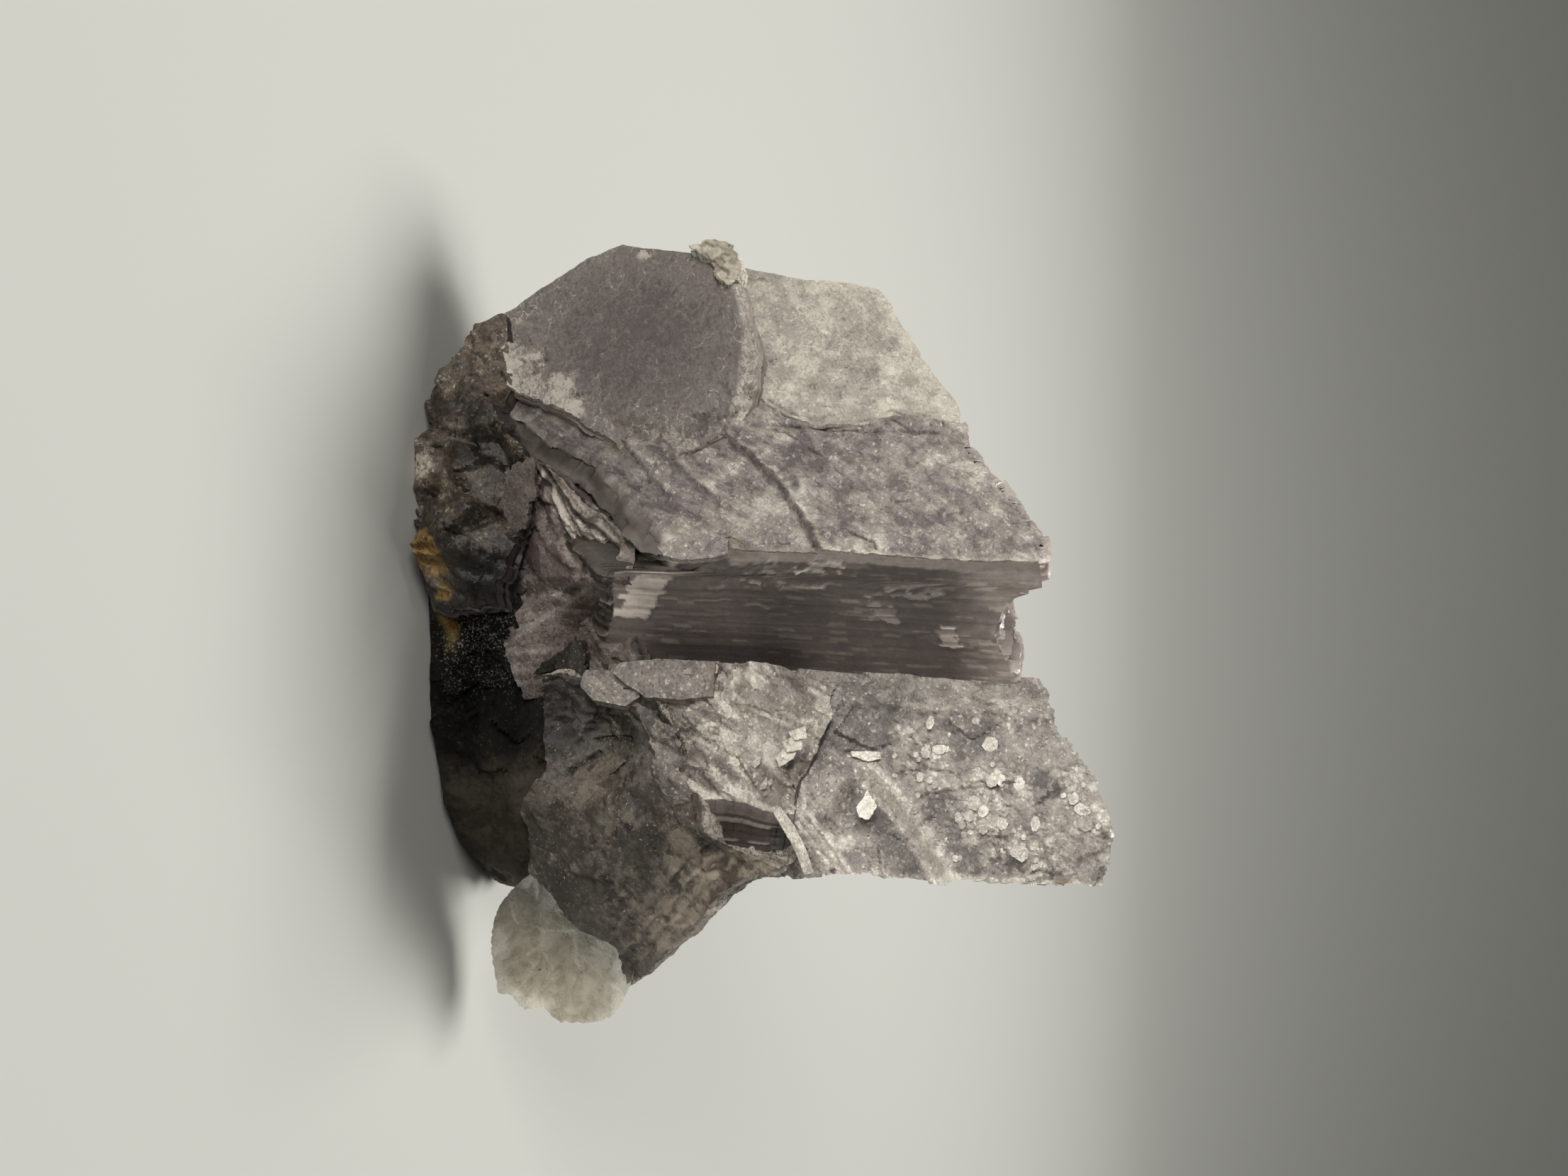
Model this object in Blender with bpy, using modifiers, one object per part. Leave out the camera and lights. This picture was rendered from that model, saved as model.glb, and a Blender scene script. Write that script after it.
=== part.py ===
"""A mica crystal specimen: parallel books of lilac mica leaves on a smoky quartz foot.

Lengths are in millimetres until they reach a mesh, which is in metres. Each book is drawn in
the plane of its own leaves: a runs to the right, b runs up, and depth runs back from the face.
A node is one crystal. Its solids are joined, and crystals that come later in the list are cut
back from earlier ones, so that a gap is left all round each contact.
"""

from math import radians

import bmesh
import bpy
import numpy as np
from mathutils import Vector

MM = 0.001
GAP = 0.3  # clearance between neighbouring crystals
LAP = 0.3  # how far one packet of leaves reaches into the next

# Where each book's face stands: a point on the face, its turn to the left and its lean back.
CENTRE_FACE = ((-6.2, -19.0, 44.5), 35.0, 5.0)
LEFT_FACE = ((-17.6, -11.6, 39.4), 38.0, 8.0)
HEXAGON_FACE = ((-15.7, -15.7, 22.1), 24.0, 2.0)
RIGHT_FACE = ((3.8, -6.0, 41.6), 24.0, 5.0)

# Packets of leaves: depth of the front, depth of the back, and the outline between them.
CENTRE_PACKETS = (
    (0.0, 3.4, (
        (-14.0, 3.4), (-9.8, 5.1), (-6.3, 8.2), (-3.9, 10.1), (-2.2, 11.3), (0.0, 11.5),
        (0.0, 0.0), (-0.3, -13.3), (-2.0, -19.4), (-4.7, -25.0), (-8.3, -29.0), (-12.0, -32.5),
        (-16.3, -37.6), (-18.0, -30.0), (-17.0, -14.5), (-13.4, -8.7), (-14.8, -2.2))),
    (3.4, 6.4, (
        (-13.4, 3.0), (-8.0, 6.0), (-5.0, 8.3), (0.3, 8.8), (0.5, -13.5), (0.2, -16.5),
        (-2.5, -24.0), (-7.0, -29.0), (-14.0, -34.5), (-17.0, -28.0), (-14.0, -10.0))),
    (6.4, 10.4, (
        (-13.0, 3.0), (-6.0, 7.0), (0.8, 7.6), (1.0, -18.5), (-0.5, -25.5), (-6.0, -31.0),
        (-12.0, -34.0), (-16.0, -27.0), (-13.5, -10.0))),
    (10.4, 16.0, (
        (-12.5, 2.0), (-7.0, 7.0), (1.1, 8.8), (1.4, -21.0), (0.4, -27.0), (-5.0, -32.0),
        (-12.0, -33.0), (-14.0, -20.0), (-13.0, -6.0))),
)
LEFT_PACKETS = (
    (0.0, 2.7, (
        (-17.5, -13.4), (-16.3, -6.7), (-16.2, -3.4), (-15.6, -0.9), (-12.5, 1.1),
        (-8.2, 3.9), (-3.5, 7.3), (-0.4, 8.6), (-1.0, 2.8), (0.6, 0.1), (0.4, -3.0),
        (-1.5, -6.1), (-4.5, -9.5), (-4.5, -20.0), (-14.0, -22.0))),
    (2.7, 7.0, (
        (-16.9, -14.0), (-15.7, -1.8), (-8.5, 3.2), (-1.0, 8.0), (1.0, 7.0), (1.0, -24.0),
        (-14.0, -26.0))),
    (7.0, 11.0, (
        (-15.0, -15.0), (-14.2, -3.0), (-8.0, 2.0), (-1.0, 6.2), (1.0, -25.0),
        (-12.0, -27.0))),
    (11.0, 14.5, (
        (-12.0, -14.0), (-11.4, -5.0), (-6.0, 0.0), (0.0, 3.4), (2.0, -12.0), (1.0, -25.0),
        (-10.0, -27.0))),
)
HEXAGON_PACKETS = (
    (0.0, 1.2, (
        (-17.9, 4.4), (-15.8, 6.4), (-12.9, 7.3), (-9.4, 8.5), (-5.9, 8.7), (-3.9, 7.7),
        (-1.9, 6.1), (-0.7, 4.4), (0.3, 2.2), (0.4, -0.2), (0.1, -2.3), (-1.1, -4.4),
        (-3.4, -8.3), (-5.4, -13.0), (-5.9, -14.4), (-7.7, -14.8), (-10.6, -15.9),
        (-13.2, -16.5), (-16.2, -13.0), (-18.8, -9.7), (-20.5, -5.9), (-19.7, -0.7))),
    (1.2, 6.0, (
        (-17.6, 4.2), (-15.6, 6.0), (-12.8, 6.9), (-5.9, 8.3), (-3.9, 7.4), (-0.6, 4.0),
        (0.2, -0.2), (-1.3, -4.4), (-3.6, -8.3), (-6.0, -14.0), (-10.6, -15.4),
        (-13.0, -16.0), (-16.0, -12.6), (-18.5, -9.4), (-20.0, -5.8), (-19.3, -0.7))),
)
RIGHT_PACKETS = (
    (0.0, 1.6, (
        (-0.1, 11.9), (1.9, 13.0), (3.8, 13.4), (5.1, 14.3), (7.1, 16.2), (11.4, 18.6),
        (13.4, 19.2), (17.6, 18.6), (17.9, 9.0), (18.0, 5.4), (13.9, 2.4), (10.9, -0.1),
        (7.3, -2.9), (3.5, -5.2), (0.0, -6.2))),
    (1.6, 4.6, (
        (0.0, 11.5), (4.9, 13.8), (11.4, 18.0), (16.8, 18.2), (17.3, 9.0), (17.6, 2.0),
        (17.6, -4.0), (18.2, -8.0), (18.6, -12.0), (16.0, -20.0), (9.0, -26.0),
        (2.4, -28.0), (0.6, -25.2), (0.0, -10.0))),
    (4.6, 9.0, (
        (-3.0, 8.6), (0.4, 10.0), (5.8, 12.8), (11.6, 16.0), (14.4, 8.0), (14.6, -10.0),
        (12.0, -24.0), (3.0, -27.0), (-4.0, -26.0), (-5.0, -8.0))),
    (9.0, 13.5, (
        (-9.0, 2.0), (-5.5, 6.4), (1.0, 7.0), (6.0, 11.0), (9.6, 12.6), (11.8, 5.0),
        (11.0, -10.0), (9.0, -24.0), (-7.0, -26.0), (-10.5, -12.0))),
)
# The short front book stands proud of the right book, so its depths are less than zero.
SHORT_PACKETS = (
    (-4.0, -2.4, (
        (1.6, -5.8), (5.1, -5.7), (8.3, -6.7), (11.5, -7.8), (14.4, -7.8), (15.0, -15.8),
        (14.1, -19.1), (5.9, -21.6), (4.5, -26.4), (2.9, -26.8), (1.9, -23.9))),
    (-2.4, 0.2, (
        (1.0, -6.0), (5.1, -6.0), (8.3, -7.2), (11.5, -8.2), (15.6, -8.2), (16.4, -16.2),
        (15.0, -20.5), (6.2, -23.0), (4.4, -27.4), (2.0, -26.4), (1.2, -23.6))),
)

# Corners of the crystals that show no single flat face, measured from the foot.
FOLDED_CORNERS = (
    (-7.1, -18.3, 23.0), (-5.4, -16.8, 22.0), (-1.7, -14.5, 18.0), (1.8, -11.5, 16.5),
    (2.6, -11.5, 13.0), (-1.7, -13.8, 9.2), (-9.1, -16.6, 8.9), (-14.6, -16.4, 9.2),
    (-17.7, -14.8, 11.7), (-14.5, -16.6, 15.7), (-11.3, -18.0, 19.5), (5.8, -12.0, 12.0),
    (5.2, -10.0, 15.0), (0.0, -6.0, 11.0), (-12.0, -6.0, 11.0), (-8.0, -6.0, 17.0))
BASAL_CORNERS = (
    ((-28.2, -10.8, 5.6), (-27.1, -10.5, 3.3), (-25.9, -10.3, 2.0), (-22.9, -12.0, 1.2),
     (-21.4, -12.9, 5.6), (-24.3, -12.0, 5.6), (-27.0, -3.0, 5.8), (-24.0, -3.0, 2.0),
     (-19.0, -8.0, 5.5)),
    ((-24.0, -11.6, 2.6), (-21.6, -12.5, 0.7), (-17.4, -14.9, 0.3), (-15.0, -15.0, 0.0),
     (-14.6, -16.3, 8.0), (-17.8, -14.6, 8.0), (-21.4, -12.9, 6.8), (-19.0, -4.0, 0.0),
     (-20.0, -4.0, 7.0), (-13.0, -6.0, 8.0)),
    ((-15.6, -15.8, 0.6), (-12.9, -17.0, 0.0), (-10.7, -17.0, 0.0), (-8.3, -16.7, 0.0),
     (-7.9, -16.2, 8.4), (-11.5, -17.0, 8.4), (-14.8, -16.4, 8.0), (-15.0, -6.0, 0.0),
     (-15.0, -6.0, 8.0), (-8.0, -6.0, 8.0), (-8.0, -6.0, 0.0)),
)
WING_CORNERS = (
    ((19.7, -13.3, 33.5), (21.1, -12.5, 30.9), (24.7, -10.4, 24.7), (28.1, -7.9, 21.3),
     (31.2, -5.5, 17.8), (32.6, -4.4, 15.8), (28.6, -6.4, 12.7), (25.2, -7.9, 9.7),
     (21.9, -9.4, 8.7), (17.4, -12.1, 9.8), (13.7, -13.6, 11.4), (7.0, -14.3, 13.0),
     (6.5, -14.0, 19.0), (14.5, -15.6, 23.5), (19.6, -14.6, 25.0), (19.0, -2.0, 27.0),
     (28.0, 0.0, 18.0), (26.0, 1.0, 11.0), (10.0, -4.0, 12.0), (10.0, -5.0, 22.0)),
    ((20.2, -11.0, 28.5), (24.4, -8.6, 23.6), (27.8, -6.0, 20.0), (30.4, -3.4, 16.6),
     (26.0, 1.0, 12.0), (20.0, 4.0, 14.0), (17.0, 3.0, 26.0), (24.0, 0.0, 22.0)),
)
FOOT_CORNERS = (
    (-16.0, -14.0, 0.0), (-8.0, -16.6, 0.0), (-2.3, -14.2, 0.0), (7.2, -12.4, 0.0),
    (15.4, -9.6, 0.0), (20.2, -5.8, 0.0), (24.6, -3.6, 3.0), (24.2, -6.0, 4.6),
    (22.0, -8.5, 7.3), (19.8, -10.6, 9.4), (15.8, -13.0, 10.4), (10.1, -13.8, 11.4),
    (3.9, -13.6, 10.6), (-2.3, -14.8, 9.0), (-7.5, -16.2, 8.6), (-20.0, -6.0, 0.0),
    (-24.0, -4.0, 6.0), (-22.0, 6.0, 0.0), (-27.0, 8.0, 9.0), (-24.0, 12.0, 16.0),
    (-8.0, 15.0, 0.0), (-10.0, 19.0, 8.0), (-10.0, 16.0, 22.0), (8.0, 13.0, 0.0),
    (10.0, 17.0, 9.0), (8.0, 13.0, 24.0), (20.0, 3.0, 0.0), (25.0, 4.0, 7.0),
    (20.0, 5.0, 20.0))
KNOB_CORNERS = (
    (-33.8, -11.0, 26.3), (-33.5, -11.2, 27.2), (-32.7, -11.0, 27.7), (-31.2, -10.2, 28.7),
    (-29.8, -10.4, 28.6), (-30.0, -12.0, 27.0), (-33.0, -11.5, 24.1), (-32.3, -12.0, 25.6),
    (-31.0, -8.0, 28.0), (-32.0, -7.5, 27.5), (-33.0, -9.0, 24.0))

# The pale flake is a shallow shell: a centre, two half widths, how deep it is dished.
FLAKE_CENTRE = (29.2, -5.6, 9.9)
FLAKE_HALF_WIDTH = 7.2
FLAKE_HALF_HEIGHT = 6.6
FLAKE_DISH = 1.4
FLAKE_THICKNESS = 1.1
FLAKE_TURN = -14.0
FLAKE_LEAN = 6.0
FLAKE_SIDES = 28
FLAKE_RINGS = 3

LILAC = (0.44, 0.37, 0.40)
PEARL = (0.60, 0.53, 0.49)
DUSKY = (0.19, 0.15, 0.17)
GREY_LILAC = (0.26, 0.23, 0.21)
PALE = (0.62, 0.60, 0.50)
SMOKE = (0.035, 0.033, 0.028)
CREAM = (0.42, 0.38, 0.30)


def clear_scene():
    for thing in list(bpy.data.objects):
        bpy.data.objects.remove(thing, do_unlink=True)


def collection(name, helper=False):
    made = bpy.data.collections.new(name)
    bpy.context.scene.collection.children.link(made)
    made.hide_render = helper
    return made


def material(name, colour, roughness, metallic=0.0, transmission=0.0):
    made = bpy.data.materials.new(name)
    made.use_nodes = True
    shader = made.node_tree.nodes["Principled BSDF"]
    shader.inputs["Base Color"].default_value = (*colour, 1.0)
    shader.inputs["Roughness"].default_value = roughness
    shader.inputs["Metallic"].default_value = metallic
    shader.inputs["Transmission Weight"].default_value = transmission
    shader.inputs["IOR"].default_value = 1.56
    made.diffuse_color = (*colour, 1.0)
    return made


def mesh_object(name, bm, home):
    """Puts a bmesh into an object of its own in the given collection, faces outward."""
    bmesh.ops.recalc_face_normals(bm, faces=bm.faces)
    mesh = bpy.data.meshes.new(name)
    bm.to_mesh(mesh)
    bm.free()
    made = bpy.data.objects.new(name, mesh)
    home.objects.link(made)
    if home.hide_render:
        made.hide_render = True
        made.display_type = "WIRE"
    return made


def packet(name, face, front, back, outline, home):
    """A packet of leaves: the outline filled as one face, extruded back through its thickness."""
    bm = bmesh.new()
    corners = [bm.verts.new((a * MM, b * MM, -back * MM)) for a, b in outline]
    sheet = bm.faces.new(corners)
    extruded = bmesh.ops.extrude_face_region(bm, geom=[sheet])["geom"]
    raised = [part for part in extruded if isinstance(part, bmesh.types.BMVert)]
    bmesh.ops.translate(bm, vec=(0.0, 0.0, (back - front) * MM), verts=raised)
    made = mesh_object(name, bm, home)
    at, turn, lean = face
    made.location = Vector(at) * MM
    made.rotation_euler = (radians(90.0 - lean), 0.0, radians(-turn))
    return made


def lump(name, corners, home):
    """A lump with flat facets: the convex hull of its corners."""
    bm = bmesh.new()
    for corner in corners:
        bm.verts.new(Vector(corner) * MM)
    hull = bmesh.ops.convex_hull(bm, input=bm.verts)
    inside = [part for part in hull["geom_interior"] if isinstance(part, bmesh.types.BMVert)]
    bmesh.ops.delete(bm, geom=inside, context="VERTS")
    return mesh_object(name, bm, home)


def dished_flake(name, home):
    """Rings of a flat disc pushed back into a shallow bowl, then thickened with Solidify."""
    bm = bmesh.new()
    bmesh.ops.create_circle(bm, cap_ends=True, radius=1.0, segments=FLAKE_SIDES)
    for ring in range(FLAKE_RINGS):
        step = 1.0 / (FLAKE_RINGS + 1 - ring)
        cap = [face for face in bm.faces if len(face.verts) == FLAKE_SIDES]
        bmesh.ops.inset_individual(bm, faces=cap, thickness=0.9 * step, use_even_offset=True)
    for vert in bm.verts:
        reach = vert.co.xy.length
        angle = np.arctan2(vert.co.y, vert.co.x)
        ragged = 1.0 + 0.035 * np.sin(5.0 * angle + 0.6) + 0.025 * np.sin(9.0 * angle)
        vert.co.x *= FLAKE_HALF_WIDTH * ragged * MM
        vert.co.y *= FLAKE_HALF_HEIGHT * ragged * MM
        vert.co.z = FLAKE_DISH * (reach**2 - 1.0) * MM
    made = mesh_object(name, bm, home)
    made.location = Vector(FLAKE_CENTRE) * MM
    made.rotation_euler = (radians(90.0 - FLAKE_LEAN), 0.0, radians(-FLAKE_TURN))
    thicken = made.modifiers.new("thickness", "SOLIDIFY")
    thicken.thickness = FLAKE_THICKNESS * MM
    thicken.offset = -1.0
    return made


def grown(solid, home):
    """A copy whose faces all stand GAP further out: each corner moves to where they meet."""
    depsgraph = bpy.context.evaluated_depsgraph_get()
    bm = bmesh.new()
    bm.from_mesh(solid.evaluated_get(depsgraph).to_mesh())
    bmesh.ops.recalc_face_normals(bm, faces=bm.faces)
    moves = []
    for vert in bm.verts:
        normals = np.array([face.normal for face in vert.link_faces])
        push = np.full(len(normals), GAP * MM)
        moves.append(np.linalg.lstsq(normals, push, rcond=0.1)[0])
    for vert, move in zip(bm.verts, moves):
        vert.co += Vector(move)
    made = mesh_object(solid.name + "_grown", bm, home)
    made.matrix_world = solid.matrix_world
    return made


def boolean(target, operation, cutters):
    modifier = target.modifiers.new(operation.lower() + "_" + cutters.name, "BOOLEAN")
    modifier.operation = operation
    modifier.operand_type = "COLLECTION"
    modifier.collection = cutters
    modifier.solver = "EXACT"


class Specimen:
    """Collects the crystals in order and keeps the grown copies that cut the later ones."""

    def __init__(self, name):
        self.crystals = collection(name)
        self.grown_sets = []
        self.solids = []

    def crystal(self, name, makers, finish):
        """Joins the solids its makers make into one node, cut back from earlier crystals."""
        extra = collection(name + "_packets", helper=True) if len(makers) > 1 else None
        parts = [makers[0](name, self.crystals)]
        for number, maker in enumerate(makers[1:], start=2):
            parts.append(maker(f"{name}_packet_{number}", extra))
        bpy.context.view_layer.update()
        room = collection(name + "_room", helper=True)
        copies = [grown(part, room) for part in parts]
        if extra:
            boolean(parts[0], "UNION", extra)
        for earlier in self.grown_sets:
            boolean(parts[0], "DIFFERENCE", earlier)
        parts[0].data.materials.append(finish)
        self.grown_sets.append(room)
        self.solids.extend(parts + copies)
        return parts[0]

    def stand_over_origin(self, name):
        """Carries all on one empty, with the middle of the box over the origin and z at 0."""
        bpy.context.view_layer.update()
        depsgraph = bpy.context.evaluated_depsgraph_get()
        points = []
        for node in self.crystals.objects:
            seen = node.evaluated_get(depsgraph)
            points.extend(seen.matrix_world @ vert.co for vert in seen.data.vertices)
        low = Vector(map(min, zip(*points)))
        high = Vector(map(max, zip(*points)))
        carrier = bpy.data.objects.new(name, None)
        bpy.context.scene.collection.objects.link(carrier)
        for solid in self.solids:
            solid.parent = carrier
        middle = (low + high) / 2.0
        carrier.location = (-middle.x, -middle.y, -low.z)
        return carrier


def packets(face, rows):
    """Makers for the packets of one book, each lapped into the one behind it."""
    makers = []
    for row, (front, back, outline) in enumerate(rows):
        reach = back + (LAP if row + 1 < len(rows) else 0.0)
        makers.append(
            lambda name, home, front=front, reach=reach, outline=outline: packet(
                name, face, front, reach, outline, home
            )
        )
    return makers


def lumps(groups):
    return [lambda name, home, corners=corners: lump(name, corners, home) for corners in groups]


clear_scene()
specimen = Specimen("mica_crystal")
specimen.crystal(
    "hexagonal_plate", packets(HEXAGON_FACE, HEXAGON_PACKETS), material("dusky_mica", DUSKY, 0.6)
)
specimen.crystal(
    "centre_book", packets(CENTRE_FACE, CENTRE_PACKETS), material("lilac_mica", LILAC, 0.35)
)
specimen.crystal(
    "left_book", packets(LEFT_FACE, LEFT_PACKETS), material("pearly_mica", PEARL, 0.3)
)
specimen.crystal(
    "right_book", packets(RIGHT_FACE, RIGHT_PACKETS), material("scaly_mica", PEARL, 0.28)
)
specimen.crystal(
    "short_book", packets(RIGHT_FACE, SHORT_PACKETS), material("short_book_mica", LILAC, 0.3)
)
specimen.crystal("left_knob", lumps([KNOB_CORNERS]), material("cream_mica", CREAM, 0.6))
specimen.crystal("grey_wing", lumps(WING_CORNERS), material("grey_mica", GREY_LILAC, 0.65))
specimen.crystal(
    "pale_flake", [dished_flake], material("clear_mica", PALE, 0.25, transmission=0.7)
)
specimen.crystal(
    "folded_plates", lumps([FOLDED_CORNERS]), material("folded_mica", LILAC, 0.4)
)
specimen.crystal(
    "basal_plates", lumps(BASAL_CORNERS), material("stained_mica", GREY_LILAC, 0.5)
)
specimen.crystal(
    "quartz_foot", lumps([FOOT_CORNERS]), material("smoky_quartz", SMOKE, 0.25)
)
specimen.stand_over_origin("specimen")
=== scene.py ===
"""A mica crystal specimen: books of lilac mica leaves grown on smoky quartz.

Lengths are in millimetres until a mesh is made, in metres. In the plane of a book's leaves, a runs
right and b runs up; c runs out of its face, so that depth into the book is minus c. Each surface
carries four painted values: shade (a multiplier of its colour, which in places is painted shade
and in others painted light), pearl (0 dusky to 1 pearly: partly the leaves' own tone, partly
painted sheen), wall (1 where leaf ends show) and stain (1 where rust lies).
"""
from math import cos, radians, sin

import bpy
import numpy as np
from mathutils import Matrix, Vector


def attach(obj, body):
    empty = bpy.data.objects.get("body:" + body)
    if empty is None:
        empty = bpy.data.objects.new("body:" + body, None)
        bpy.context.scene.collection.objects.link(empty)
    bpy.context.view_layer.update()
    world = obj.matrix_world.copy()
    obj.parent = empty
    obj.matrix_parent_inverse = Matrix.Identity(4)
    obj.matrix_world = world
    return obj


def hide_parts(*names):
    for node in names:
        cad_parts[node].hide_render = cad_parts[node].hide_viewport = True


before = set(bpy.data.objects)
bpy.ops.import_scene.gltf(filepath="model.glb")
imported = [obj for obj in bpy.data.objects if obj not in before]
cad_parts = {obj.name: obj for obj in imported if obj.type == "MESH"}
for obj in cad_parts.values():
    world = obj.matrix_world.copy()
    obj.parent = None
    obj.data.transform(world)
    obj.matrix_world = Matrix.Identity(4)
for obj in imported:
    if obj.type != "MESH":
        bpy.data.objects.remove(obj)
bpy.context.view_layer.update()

MM = 0.001
MIDDLE = np.array([-0.925, 0.389, 0.0])  # added to every point, to stand the specimen over the origin
CLEARANCE = 0.01  # no point at the foot lies lower than this
FINE = 1.0


# ---------------------------------------------------------------- numbers that look random

def lattice(ix, iy, iz, seed):
    """0 to 1 at each whole-number point: the three numbers and the seed times large odd
    numbers, summed, with the high bits folded into the low ones twice."""
    ix, iy, iz = (np.asarray(v).astype(np.int64) for v in (ix, iy, iz))
    h = (ix * 374761393 + iy * 668265263 + iz * 951274213 + seed * 362437) & 0xFFFFFFFF
    h = ((h ^ (h >> 13)) * 1274126177) & 0xFFFFFFFF
    h = ((h ^ (h >> 15)) * 1103515245) & 0xFFFFFFFF
    return ((h ^ (h >> 16)) & 0xFFFFFF) / float(0xFFFFFF)


def noise(x, y, z=0.0, seed=0):
    """-1 to 1, smooth: the lattice's eight nearest values blended by 3t^2 - 2t^3 each way."""
    x, y, z = np.broadcast_arrays(*(np.asarray(v, float) for v in (x, y, z)))
    x0, y0, z0 = np.floor(x), np.floor(y), np.floor(z)
    fx, fy, fz = (t * t * (3 - 2 * t) for t in (x - x0, y - y0, z - z0))
    flat = not np.any(z)
    total = 0.0
    for i in (0, 1):
        for j in (0, 1):
            for k in (0,) if flat else (0, 1):
                share = (fx if i else 1 - fx) * (fy if j else 1 - fy) * (fz if k else 1 - fz)
                total = total + share * lattice(x0 + i, y0 + j, z0 + k, seed)
    return 2 * total - 1


def fbm(x, y, z=0.0, seed=0, octaves=4, gain=0.5):
    """Noise plus noise at twice the frequency and gain times the height, and so on."""
    total, height, size = 0.0, 1.0, 0.0
    for octave in range(octaves):
        rate = 2.0**octave
        total = total + height * noise(np.asarray(x) * rate, np.asarray(y) * rate,
                                       np.asarray(z) * rate, seed + 17 * octave)
        size += height
        height *= gain
    return total / size


def turned(x, y, degrees):
    """The coordinates along and across a direction that many degrees up from +x."""
    c, s = cos(radians(degrees)), sin(radians(degrees))
    return x * c + y * s, y * c - x * s


def scales(x, y, pitch, seed, share=0.8, thick=0.15, tilt=0.10, long=1.0, lean=0.0):
    """Overlapping thin scales with straight broken sides: one to each square of a jittered grid,
    present where its random number is under share (a number or a function of its place). A scale is
    the region inside five lines at uneven distances round its centre. Each is tilted a little, and
    the highest one over a point wins. Returns the height, the winner's random number (0 where bare)
    and how far inside its border the point is, from 0 at the border to 1."""
    u, v = turned(x, y, lean)
    u, v = u / (pitch * long), v / pitch
    u0, v0 = np.floor(u), np.floor(v)
    top, rank, inner = np.zeros(u.shape), np.zeros(u.shape), np.ones(u.shape)
    for i in (-1, 0, 1):
        for j in (-1, 0, 1):
            cu, cv = u0 + i, v0 + j
            pick = [lattice(cu, cv, k, seed) for k in range(7)]
            pu, pv = cu + pick[1], cv + pick[2]
            if callable(share):
                cx, cy = turned(pu * pitch * long, pv * pitch, -lean)
                chance = share(cx, cy)
            else:
                chance = share
            du, dv = u - pu, v - pv
            size = 0.42 + 0.55 * pick[3]
            reach = np.full(u.shape, -9.0)
            for k in range(5):
                angle = 2 * np.pi * (k + 0.7 * lattice(cu, cv, 20 + k, seed)) / 5
                away = size * (0.62 + 0.38 * lattice(cu, cv, 30 + k, seed))
                reach = np.maximum(reach, (du * np.cos(angle) + dv * np.sin(angle)) / away)
            height = thick * (0.35 + 0.65 * pick[4])
            height = height + tilt * pitch * ((pick[5] - 0.5) * du * long + (pick[6] - 0.5) * dv) * 2
            wins = (reach < 1.0) & (pick[0] < chance) & (height > top)
            top = np.where(wins, height, top)
            rank = np.where(wins, 0.05 + 0.95 * lattice(cu, cv, 9, seed), rank)
            inner = np.where(wins, 1.0 - reach, inner)
    return top, rank, inner


def facets(x, y, seed=0):
    """Broken ground: round each point, the nearest of one jittered point per unit square. Returns
    the way from it across and up, four random numbers of its own, and how near the border is."""
    x, y = np.broadcast_arrays(np.asarray(x, float), np.asarray(y, float))
    x0, y0 = np.floor(x), np.floor(y)
    first, second = np.full(x.shape, 9.0), np.full(x.shape, 9.0)
    cu, cv, dx, dy = (np.zeros(x.shape) for _ in range(4))
    for i in (-1, 0, 1):
        for j in (-1, 0, 1):
            px = x0 + i + lattice(x0 + i, y0 + j, 1, seed)
            py = y0 + j + lattice(x0 + i, y0 + j, 2, seed)
            gap = np.hypot(x - px, y - py)
            nearer = gap < first
            second = np.where(nearer, first, np.minimum(second, gap))
            cu, cv = np.where(nearer, x0 + i, cu), np.where(nearer, y0 + j, cv)
            dx, dy = np.where(nearer, x - px, dx), np.where(nearer, y - py, dy)
            first = np.where(nearer, gap, first)
    return dx, dy, [lattice(cu, cv, 3 + k, seed) for k in range(4)], second - first


def ease(low, high, value):
    """0 below low, 1 above high, 3t^2 - 2t^3 between."""
    t = np.clip((np.asarray(value, float) - low) / (high - low), 0.0, 1.0)
    return t * t * (3 - 2 * t)


def hump(value, width):
    """1 at 0, falling as a bell of that width."""
    return np.exp(-(np.asarray(value, float) / width) ** 2)


def along(line, x, y):
    """For each (x, y): the distance to the broken line, signed + on its left, and how far along
    the line the nearest point lies, from 0 to 1."""
    points = np.asarray(line, float)
    best = np.full(np.shape(x), 1e9)
    side = np.ones(np.shape(x))
    place = np.zeros(np.shape(x))
    lengths = np.hypot(*(points[1:] - points[:-1]).T)
    start = 0.0
    for p, q, length in zip(points[:-1], points[1:], lengths):
        dx, dy = (q - p) / length
        t = np.clip((x - p[0]) * dx + (y - p[1]) * dy, 0.0, length)
        gap = np.hypot(x - p[0] - t * dx, y - p[1] - t * dy)
        left = dx * (y - p[1]) - dy * (x - p[0])
        nearer = gap < best
        best = np.where(nearer, gap, best)
        side = np.where(nearer, np.where(left >= 0, 1.0, -1.0), side)
        place = np.where(nearer, (start + t) / lengths.sum(), place)
        start += length
    return best * side, place


def spot(x, y, at, radius, ragged=0.35, seed=5):
    """1 inside a soft disc with an uneven rim, 0 outside."""
    gap = np.hypot(x - at[0], y - at[1]) / radius
    gap = gap + ragged * fbm(x * 1.3 / radius, y * 1.3 / radius, seed=seed, octaves=3)
    return 1.0 - ease(0.55, 1.05, gap)


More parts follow.
